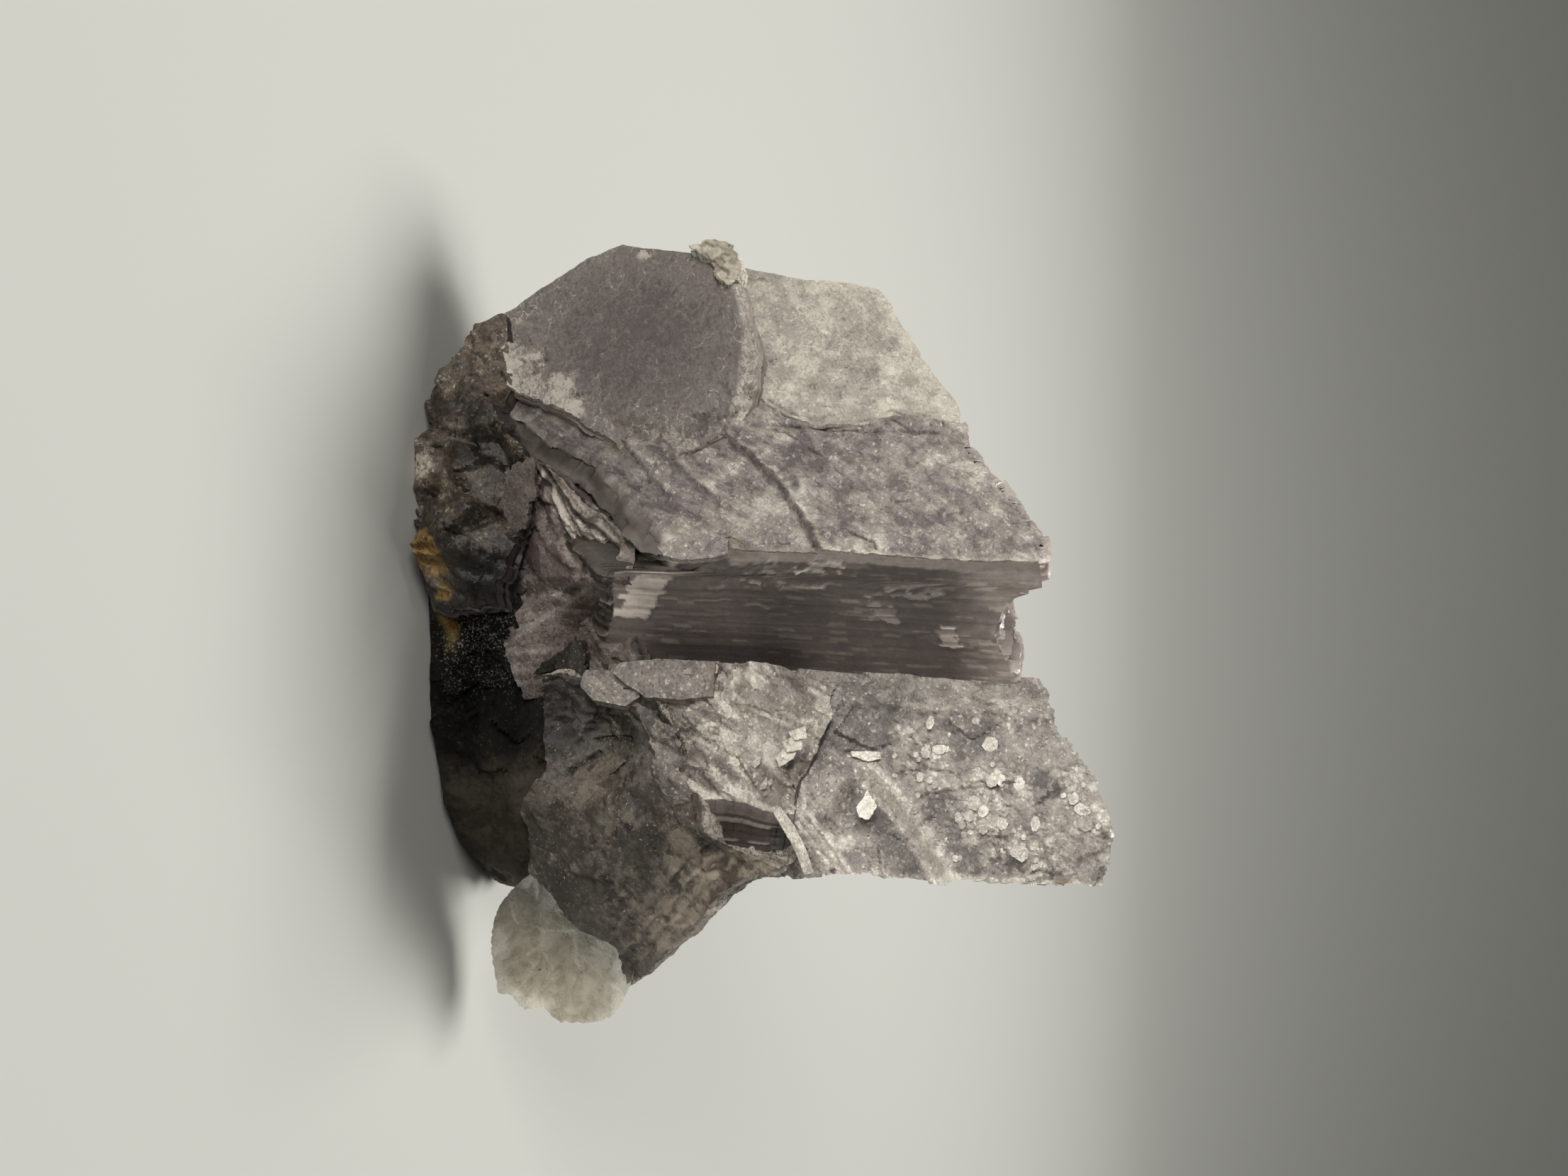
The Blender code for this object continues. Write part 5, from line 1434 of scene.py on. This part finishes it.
plate(wing, WING,
      [(-3.6, -0.5), (-2.9, 0.4), (-2.0, -0.6), (-1.0, -2.5), (-0.2, -4.4), (-1.0, -4.5), (-2.0, -3.6),
       (-3.1, -2.1)],
      thickness=1.6, front=sliver_front, seed=194, rag=0.08, spacing=0.2, lift=-1.6)
plate(wing, WING, [(-1.7, 0.9), (-0.4, 0.8), (0.7, -1.2), (1.2, -3.4), (-0.1, -3.7), (-1.0, -2.0)],
      thickness=1.2, front=bare(seed=192, pearl=0.5, shade=1.0, wave=0.15), seed=195, rag=0.08, spacing=0.2,
      lift=-1.0)
plate(wing, WING,
      [(-12.8, -4.6), (-11.4, -4.2), (-9.6, -4.6), (-8.6, -5.4), (-8.8, -7.2), (-10.4, -7.7),
       (-12.2, -6.4)],
      thickness=1.2, front=bare(seed=293, pearl=0.30, shade=0.42, wave=0.3, rate=0.3), seed=296, rag=0.45,
      spacing=0.2, lift=-3.9)
grey_wing = wing.mesh("grey_wing_leaves")

FLAKE = Face((29.2, -5.6, 9.9), -14.0, 6.0)


def flake_front(a, b):
    """The clear flake: dished like a shell, ribbed across its growth, with a chipped rim. Its dish is
    shown by painted shade at the upper left and painted light at the right, where the rim is painted
    pale as a painted highlight.
    """
    s = Sheet(a, b, 96, 0.35, 1.0)
    x, y = a + 0.5, b
    away = np.hypot(x / 7.0, y / 6.2)
    s.h = 2.3 * away**2.2 - 0.45
    s.swell(0.35, 0.22, 0.1)
    s.broken(2.2, 0.05, 0.10, 0.2, 0.0, 1.6, -35)
    u, v = turned(x, y, -35)
    out = np.hypot(u + 9.0, v)
    s.h += 0.14 * noise(out * 1.0, np.arctan2(v, u + 9.0) * 2.5, 0, 97) * ease(0.3, 0.9, away)
    s.swell(0.08, 0.9, 0.2, 3, 3)
    rim = ease(0.80, 1.0, away + 0.10 * noise(a * 0.8, b * 0.8, 0, 98))
    # painted highlight: the rim paler at the right
    s.pearl += 0.55 * rim * ease(-7.0, -1.0, a)
    # painted shade at the upper left and painted light at the right, to show the dish
    s.shade = s.shade * (1 - 0.50 * ease(1.0, -6.0, a - 0.5 * b)) * (1 + 0.30 * ease(0.0, 5.0, a))
    for at in ((2.4, 1.2), (-1.6, -0.8), (2.0, -2.6), (-3.2, 0.2)):
        s.dab(at, 0.16, -0.3, 0.25, ragged=0.1)
    return s


flake = Pile()
plate(flake, FLAKE,
      [(3.2, 6.2), (5.0, 5.0), (6.0, 3.7), (6.4, 2.0), (6.7, 0.3), (6.2, -1.4), (5.3, -2.2), (5.2, -3.7),
       (4.4, -4.5), (3.3, -5.9), (1.0, -6.3), (-1.8, -6.4), (-3.6, -5.8), (-5.2, -4.9), (-6.8, -3.4),
       (-8.2, -1.6), (-7.6, 0.4), (-5.2, 3.4), (-2.0, 6.2), (0.8, 7.2)],
      thickness=0.9, front=flake_front, seed=98, rag=0.18, spacing=0.2, lift=0.0, thin_rim=0.7)
pale_flake = flake.mesh("pale_flake_shell")

FOLDED = Face((-5.0, -16.0, 13.0), -5.0, -8.0)


def folded_front(a, b):
    """Leaves folded into silvery ridges that climb to the right, over a smooth pinkish leaf at the
    lower left; to the right the surface sinks far back into a smooth lilac hollow."""
    s = Sheet(a, b, 94, 0.35, 0.9)
    s.h = ease(-5.0, 3.0, b) * np.minimum(0.4, 1.2 - 1.43 * a)
    s.h -= 0.8 * ease(-6.0, -3.0, a) * ease(1.0, -2.0, a) * ease(0.0, 5.0, b)
    s.swell(0.25, 0.2, 0.2)
    rough = ease(1.6, -0.6, a + 0.5 * noise(b * 0.5, 0, 0, 95))
    band = along([(-9.6, -0.8), (-6.5, 0.2), (-4.0, 2.0), (-1.8, 3.6), (-0.4, 4.2)], a, b)[0]
    bright = hump(band + 0.4 * noise(a * 0.5, b * 0.5, 0, 194), 1.7)
    s.drop([(0.2, 5.0), (-1.6, 3.9), (-4.0, 2.6), (-6.6, 0.9), (-9.4, -0.4)], 0.6, 0.45, 0.45, 0.35, 1,
           0.05, lip=0.7)
    s.drop([(0.4, 3.2), (-1.4, 2.4), (-3.6, 1.0), (-6.4, -0.2), (-9.4, -1.2)], 0.6, 0.45, 0.45, 0.35, 2,
           0.05, lip=0.6)
    s.drop([(-1.8, 7.0), (-3.6, 4.4), (-5.6, 2.4), (-8.8, 0.3)], 0.7, 0.6, 0.45, 0.35, 3, 0.05, lip=0.3)
    s.broken(1.8, 0.12, 0.20, 0.25, 0.15, 2.6, 38, 2, rough)
    s.strokes(38, 0.18, 1.7, 0.8, 6.0, where=rough)
    # The folded ridges are painted paler and lighter: painted light where the centre book's ridge shades
    # them.
    s.pearl += 0.32 * bright * rough
    s.shade *= 1 + 0.30 * rough + 0.28 * bright * rough
    s.dab((0.8, -3.4), 1.8, -0.2, 0.8, ragged=0.7)
    s.dab((-1.6, -4.2), 1.8, -0.2, 0.8, ragged=0.7)
    s.dab((6.4, -1.6), 2.6, 0.30, 1.2)
    s.strokes(90, 0.03, 1.8, 0.5, 7.0, 4, where=1 - rough)
    s.dab((2.2, -0.6), 0.9, 0.5, 1.1)
    s.crack([(1.6, 1.6), (2.2, 0.0), (1.6, -1.4)], 0.22, 0.4, 0.55, 0.2)
    return s


folded = Pile()
book(folded, FOLDED, (
    (0.0, (
        [(-9.7, -1.5), (-8.7, -3.8), (-6.2, -6.2), (-2.8, -7.4), (-0.4, -7.2), (3.4, -6.6), (5.9, -5.6),
         (11.4, -4.0)],
        [(11.4, -4.0), (11.8, 1.0), (11.4, 4.4)],
        [(-9.5, -1.1), (-8.6, 1.1), (-6.5, 3.4), (-4.3, 6.6), (-2.2, 8.3), (-0.2, 8.2), (3.0, 7.2),
         (6.2, 4.8), (11.4, 4.4)],
        [(-9.7, -1.5), (-9.6, -1.3), (-9.5, -1.1)])),
    (5.0, (
        [(-9.4, -1.4), (-8.2, -2.8), (-6.0, -4.2), (-2.8, -4.8), (-0.4, -4.8), (3.4, -4.4), (5.8, -3.8),
         (11.0, -2.6)],
        [(11.0, -2.6), (11.4, 1.0), (11.0, 4.6)],
        [(-9.0, -0.8), (-8.0, 1.4), (-6.0, 3.8), (-4.0, 7.0), (-2.0, 8.6), (0.0, 8.4), (3.2, 7.4),
         (6.4, 5.0), (11.0, 4.6)],
        [(-9.4, -1.4), (-9.2, -1.1), (-9.0, -0.8)])),
), spacing=0.2, seed=700, front=folded_front,
   wall=plain_wall(shade=0.7, pearl=0.3, seed=95, rate=0.5, amount=0.4), rag=0.25, rag_size=0.8)
plate(folded, FOLDED, [(-9.9, -0.9), (-6.5, -0.8), (-3.9, -2.1), (-4.2, -3.7), (-6.2, -5.4), (-8.7, -3.7)],
      thickness=1.0, front=bare(seed=294, pearl=0.30, shade=0.72, wave=0.2, rate=0.3), seed=294,
      rag=0.5, spacing=0.2, lift=0.35)
folded_plates = folded.mesh("folded_plates_leaves")

BASAL = Face((-11.0, -17.0, 4.0), 16.0, 0.0)


def basal_front(a, b):
    """A mass of angular plates, smoother at the left, stained orange-brown at the lower right."""
    s = Sheet(a, b, 98, 0.42, 0.85)
    left_part = ease(-9.0, -13.0, a)
    s.swell(0.35, 0.15, 0.20)
    s.h = s.h - 0.05 * np.maximum(b - 1.0, 0) ** 1.5 - 0.30 * np.maximum(a - 3.5, 0) ** 1.6
    s.broken(4.6, 0.20, 0.45, 0.20, 0.25, 1.4, 60, 0, 1 - 0.8 * left_part)
    s.broken(2.3, 0.08, 0.35, 0.25, 0.20, 1.7, 75, 3, 1 - 0.8 * left_part)
    s.broken(0.9, 0.02, 0.14, 0.15, 0.0, 1.3, 70, 6, 0.6 + 0.4 * left_part)
    s.strokes(60, 0.03, 1.4, 0.35, 5.0)
    s.shade *= 1 + 0.7 * ease(-11.0, -15.0, a) * ease(-2.5, 0.0, b)
    s.dab((-3.4, -3.2), 1.4, 0.6, 1.5)
    s.dab((-1.2, -0.8), 1.2, 0.5, 1.3)
    s.dab((1.4, 0.6), 0.9, 0.5, 1.2)
    s.dab((-10.6, -1.6), 1.2, 0.45, 1.3)
    s.dab((-3.0, 4.6), 1.5, -0.3, 0.7)
    s.dab((-5.0, 2.0), 1.8, -0.3, 0.7)
    s.dab((-7.5, 2.4), 1.6, -0.3, 0.7)
    s.crack([(-6.2, 1.0), (-5.5, 1.3), (-4.5, 2.3), (-3.1, 4.8), (-4.4, 7.0)], 0.2, 0.5, 0.3, 0.2)
    s.crack([(-10.7, 3.2), (-9.1, 2.0), (-7.4, 1.2)], 0.14, 0.3, 0.4, 0.2)
    s.dab((4.6, -1.6), 1.5, 0.0, 1.3, 0.95, ragged=0.6)
    s.dab((3.0, -2.6), 1.0, 0.0, 1.0, 0.7, ragged=0.6)
    s.dab((7.2, -1.0), 0.9, 0.0, 1.1, 0.8, ragged=0.6, seed=4)
    s.dab((-10.6, 3.4), 0.5, 0.0, 1.0, 0.45)
    s.shade *= 1 - 0.78 * ease(3.6, 8.0, a + 0.5 * b + 2.0 * fbm(a * 0.4, b * 0.4, 0, 299, 4))
    return s


basal = Pile()
book(basal, BASAL, (
    (0.0, (
        [(-17.0, 1.3), (-16.3, -0.2), (-15.2, -0.8), (-13.9, -0.9), (-12.6, -2.2), (-11.2, -2.7),
         (-10.2, -3.4), (-7.2, -3.7), (-5.3, -4.0), (-3.0, -4.0), (-1.3, -4.0), (1.4, -3.5), (4.6, -2.9),
         (8.0, -2.0)],
        [(8.0, -2.0), (8.6, 0.6), (8.2, 3.6)],
        [(-17.6, 3.0), (-15.1, 3.6), (-12.4, 4.2), (-10.5, 4.4), (-8.7, 3.4), (-5.7, 5.2), (-3.7, 7.2),
         (-1.8, 7.0), (-0.2, 6.8), (3.8, 6.2), (8.2, 3.6)],
        [(-17.0, 1.3), (-17.6, 2.2), (-17.6, 3.0)])),
    (8.0, (
        [(-13.4, 1.2), (-12.8, -0.2), (-12.0, -0.8), (-10.8, -1.2), (-9.6, -2.2), (-8.6, -2.8),
         (-7.6, -3.4), (-5.4, -3.7), (-4.0, -3.9), (-2.0, -3.9), (0.0, -3.9), (2.6, -3.9), (5.4, -3.9),
         (8.0, -3.9)],
        [(8.0, -3.9), (8.8, 1.0), (8.0, 6.4)],
        [(-14.0, 4.0), (-12.6, 4.6), (-10.8, 5.2), (-9.2, 5.6), (-7.6, 5.6), (-5.2, 6.6), (-3.4, 7.6),
         (-1.6, 7.4), (-0.2, 7.0), (3.3, 6.6), (8.0, 6.4)],
        [(-13.4, 1.2), (-13.8, 2.4), (-14.0, 4.0)])),
    (13.0, (
        [(-9.4, 1.0), (-8.9, -0.2), (-8.3, -0.8), (-7.6, -1.2), (-6.8, -2.2), (-6.0, -2.8), (-5.2, -3.4),
         (-3.8, -3.7), (-2.8, -3.9), (-1.4, -3.9), (0.0, -3.9), (2.4, -3.9), (4.8, -3.9), (7.0, -3.9)],
        [(7.0, -3.9), (8.0, 1.0), (7.0, 6.4)],
        [(-10.0, 4.0), (-9.0, 4.6), (-7.8, 5.2), (-6.8, 5.6), (-5.6, 5.6), (-4.0, 6.6), (-2.6, 7.6),
         (-1.2, 7.4), (0.2, 7.0), (3.3, 6.6), (7.0, 6.4)],
        [(-9.4, 1.0), (-9.8, 2.4), (-10.0, 4.0)])),
), spacing=0.2, seed=800, front=basal_front,
   wall=plain_wall(shade=0.34, pearl=0.25, seed=99, rate=0.5, amount=0.4), rag=0.5, rag_size=1.3, deep=1.3)
for points in basal.points:
    points[:, 2] = np.maximum(points[:, 2], CLEARANCE)
basal_plates = basal.mesh("basal_plates_leaves")

KNOB = Face((-33.0, -9.0, 26.0), 20.0, 0.0)


def knob_front(a, b):
    """The left knob: a crumbly cream crust."""
    s = Sheet(a, b, 99, 0.7, 1.25)
    s.swell(0.5, 0.5, 0.3)
    s.broken(0.9, 0.15, 0.35, 0.3, 0.3)
    return s


knob = Pile()
book(knob, KNOB, (
    (0.0, (
        [(-0.6, -2.8), (0.2, -1.6), (0.7, -0.9)],
        [(0.7, -0.9), (2.0, -0.1), (3.2, 1.0)],
        [(-1.1, 0.4), (-0.6, 1.1), (0.1, 1.5), (1.4, 2.2), (2.4, 2.1), (3.2, 1.0)],
        [(-0.6, -2.8), (-1.1, -1.6), (-1.2, -0.6), (-1.1, 0.4)])),
    (3.0, (
        [(-0.2, -3.2), (0.6, -2.0), (1.0, -1.2)],
        [(1.0, -1.2), (2.2, -0.4), (3.4, 0.8)],
        [(-0.7, 0.2), (-0.2, 0.8), (0.5, 1.1), (1.6, 1.7), (2.6, 1.7), (3.4, 0.8)],
        [(-0.2, -3.2), (-0.7, -1.8), (-0.8, -0.8), (-0.7, 0.2)])),
), spacing=0.15, seed=950, front=knob_front,
   wall=plain_wall(shade=0.9, pearl=0.5, seed=96, rate=0.8, amount=0.4), rag=0.35, rag_size=0.6)
left_knob = knob.mesh("left_knob_crumbs")


def foot_paint(x, y, z):
    """Blue-black and speckled in the middle of the front, glassy grey-green at the right end, paler
    behind and above, with a yellow trail low at the left."""
    glassy = ease(9.0, 15.0, x + 2.0 * noise(x * 0.3, y * 0.3, z * 0.3, 98))
    upper = ease(7.0, 12.0, z + 1.5 * noise(x * 0.3, y * 0.3, z * 0.3, 198))
    behind = ease(-4.0, 8.0, y)
    black = spot(x, z, (-0.5, 5.0), 8.0, 0.6, 199) * ease(0.0, -8.0, y)
    shade = 1.1 + 2.6 * glassy + 3.2 * upper + 3.4 * behind - 0.9 * black
    trail = (hump(z - 1.6 - 0.12 * (x + 6.0) + 0.5 * noise(x * 0.7, y * 0.7, 0, 197), 0.6)
             * ease(-9.0, -6.5, x) * ease(3.0, -1.0, x) * ease(-6.0, -10.0, y))
    return shade, 0.45 + 0.25 * glassy, 0.95 * trail, 0.45 * black - 0.25 * glassy + 0.15 - 0.3 * behind


foot = Pile()
rock(foot, (0.0, 1.0, 8.5), (
    (0.05, -1.0, -0.12, 15.6), (0.38, -0.92, -0.08, 17.4), (0.72, -0.52, -0.42, 22.6),
    (-0.6, -0.75, -0.2, 17.0), (0.0, 0.0, -1.0, 8.5), (0.1, -0.45, 0.9, 9.0), (-0.7, 0.2, 0.6, 17.0),
    (-0.85, 0.3, -0.2, 21.0), (0.0, 0.97, 0.1, 16.0), (0.6, 0.75, 0.2, 18.5), (-0.5, 0.8, 0.1, 19.0),
    (0.85, 0.1, 0.35, 20.2), (0.10, -0.80, 0.60, 11.4), (0.1, 0.6, 0.75, 15.5), (0.0, 0.1, 1.0, 13.0),
    (0.3, 0.6, -0.75, 15.5), (-0.6, 0.4, -0.7, 17.0), (0.9, -0.1, -0.35, 25.4)),
    seed=99, paint=foot_paint, rows=195, rough=0.5, lumps=1.0, chips=0.5, soft=32.0)
quartz_foot = foot.mesh("quartz_foot_lump")


# ---------------------------------------------------------------- finishes and places

lilac = mica("lilac_mica_look", (0.17, 0.139, 0.137), (0.375, 0.33, 0.297), (0.68, 0.63, 0.55),
             rough=0.30, silver=0.30, wall_dark=(0.112, 0.092, 0.089), wall_pale=(0.37, 0.325, 0.295))
pearl = mica("pearly_mica_look", (0.17, 0.143, 0.134), (0.44, 0.393, 0.338), (0.76, 0.70, 0.60),
             rough=0.32, silver=0.25, lean=30.0, sparks=0.5)
scaly = mica("scaly_mica_look", (0.22, 0.193, 0.181), (0.51, 0.46, 0.41), (0.86, 0.81, 0.72),
             rough=0.26, silver=0.34)
short_look = mica("short_book_look", (0.17, 0.145, 0.135), (0.39, 0.345, 0.30), (0.74, 0.69, 0.60),
                  rough=0.28, silver=0.32)
dusky = mica("dusky_mica_look", (0.082, 0.063, 0.062), (0.17, 0.145, 0.128), (0.46, 0.42, 0.36),
             rough=0.50, silver=0.10, bump=0.06, lean=20.0, vein=0.5, sparks=0.22)
folded_look = mica("folded_mica_look", (0.095, 0.070, 0.063), (0.27, 0.222, 0.195), (0.62, 0.57, 0.50),
                   rough=0.32, silver=0.25, lean=40.0, sparks=0.3, facet=0.2)
stained = mica("stained_mica_look", (0.031, 0.022, 0.015), (0.110, 0.083, 0.058), (0.42, 0.37, 0.295),
               rough=0.36, silver=0.15, sparks=0.5)
grey = dull_mineral("grey_mica_look", (0.053, 0.040, 0.030), (0.20, 0.167, 0.130), rough=0.36,
                    speck=(0.46, 0.42, 0.36), speck_from=0.605, streak=1.1, facet=0.40)
cream = dull_mineral("cream_mica_look", (0.22, 0.19, 0.145), (0.52, 0.47, 0.38), rough=0.5,
                     speck=(0.7, 0.66, 0.57), speck_from=0.60)
smoke = dull_mineral("smoky_quartz_look", (0.0025, 0.0025, 0.0026), (0.016, 0.0135, 0.0100), rough=0.45,
                     speck=(0.17, 0.163, 0.145), speck_from=0.645, bump=0.14)
smoke.node_tree.nodes["Principled BSDF"].inputs["Specular IOR Level"].default_value = 0.07
clear = clear_flake()

for piece, node, slot, look in (
    (centre_book, "centre_book", "lilac_mica", lilac),
    (left_book, "left_book", "pearly_mica", pearl),
    (hexagonal_plate, "hexagonal_plate", "dusky_mica", dusky),
    (right_book, "right_book", "scaly_mica", scaly),
    (short_book, "short_book", "short_book_mica", short_look),
    (grey_wing, "grey_wing", "grey_mica", grey),
    (pale_flake, "pale_flake", "clear_mica", clear),
    (folded_plates, "folded_plates", "folded_mica", folded_look),
    (basal_plates, "basal_plates", "stained_mica", stained),
    (left_knob, "left_knob", "cream_mica", cream),
    (quartz_foot, "quartz_foot", "smoky_quartz", smoke),
):
    piece.data.materials.append(look)
    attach(piece, "root")
    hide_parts(node)


# ---------------------------------------------------------------- table, light and camera

def sweep():
    """A seamless table: flat in front, turned up behind in a wide quarter circle."""
    across = np.linspace(-1500, 1500, 3)
    turn = np.linspace(0, np.pi / 2, 25)
    y = np.concatenate([[-1200.0, -200.0, 0.0], 420 + 620 * np.sin(turn), [1040.0]])
    z = np.concatenate([[0.0, 0.0, 0.0], 620 - 620 * np.cos(turn), [1600.0]])
    grid = np.stack(np.broadcast_arrays(across[None], y[:, None], z[:, None]), -1)
    ids = np.arange(grid[..., 0].size).reshape(grid.shape[:2])
    quads = np.stack([ids[:-1, :-1], ids[:-1, 1:], ids[1:, 1:], ids[1:, :-1]], -1)
    pile = Pile()
    pile.add(grid, quads)
    table = pile.mesh("table")
    paint = Paint("table_paper", Roughness=0.9)
    paint.shader.inputs["Base Color"].default_value = (0.51, 0.51, 0.472, 1.0)
    table.data.materials.append(paint.material)
    return table


sweep()


def panel(name, at, aim, size, power, colour=(1.0, 1.0, 1.0)):
    """A soft rectangular light at one point, facing another, in millimetres."""
    light = bpy.data.lights.new(name, "AREA")
    light.shape = "RECTANGLE"
    light.size, light.size_y = size[0] * MM, size[1] * MM
    light.energy = power
    light.color = colour
    made = bpy.data.objects.new(name, light)
    bpy.context.scene.collection.objects.link(made)
    made.location = Vector(at) * MM
    made.rotation_euler = (Vector(aim) - Vector(at)).to_track_quat("-Z", "Y").to_euler()
    return made


panel("overhead_light", (0, 150, 500), (0, 10, 0), size=(250, 230), power=3.0, colour=(1.0, 0.99, 0.97))
panel("left_light", (-340, -470, 210), (0, 0, 25), size=(320, 240), power=2.5, colour=(1.0, 0.985, 0.955))

world = bpy.data.worlds.new("soft_room")
world.use_nodes = True
world.node_tree.nodes["Background"].inputs[0].default_value = (0.95, 0.97, 1.0, 1.0)
world.node_tree.nodes["Background"].inputs[1].default_value = 0.07
bpy.context.scene.world = world
bpy.context.scene.view_settings.view_transform = "Standard"

ELEVATION = radians(18.0)
DISTANCE = 190.0
TARGET = Vector((-3.6, 0.0, 29.0))
forward = Vector((0.0, cos(ELEVATION), -sin(ELEVATION)))
upward = Vector((0.0, sin(ELEVATION), cos(ELEVATION)))
lens = bpy.data.cameras.new("camera")
lens.sensor_fit = "HORIZONTAL"
lens.sensor_width = 36.0
lens.lens = 48.0
lens.clip_start = 0.01
camera = bpy.data.objects.new("camera", lens)
bpy.context.scene.collection.objects.link(camera)
# The camera is turned on its side: its right is up, its up is to the left.
turned_axes = Matrix((upward, Vector((-1.0, 0.0, 0.0)), -forward)).transposed()
camera.matrix_world = (Matrix.Translation((TARGET + Vector(MIDDLE) - forward * DISTANCE) * MM)
                       @ turned_axes.to_4x4())
bpy.context.scene.camera = camera
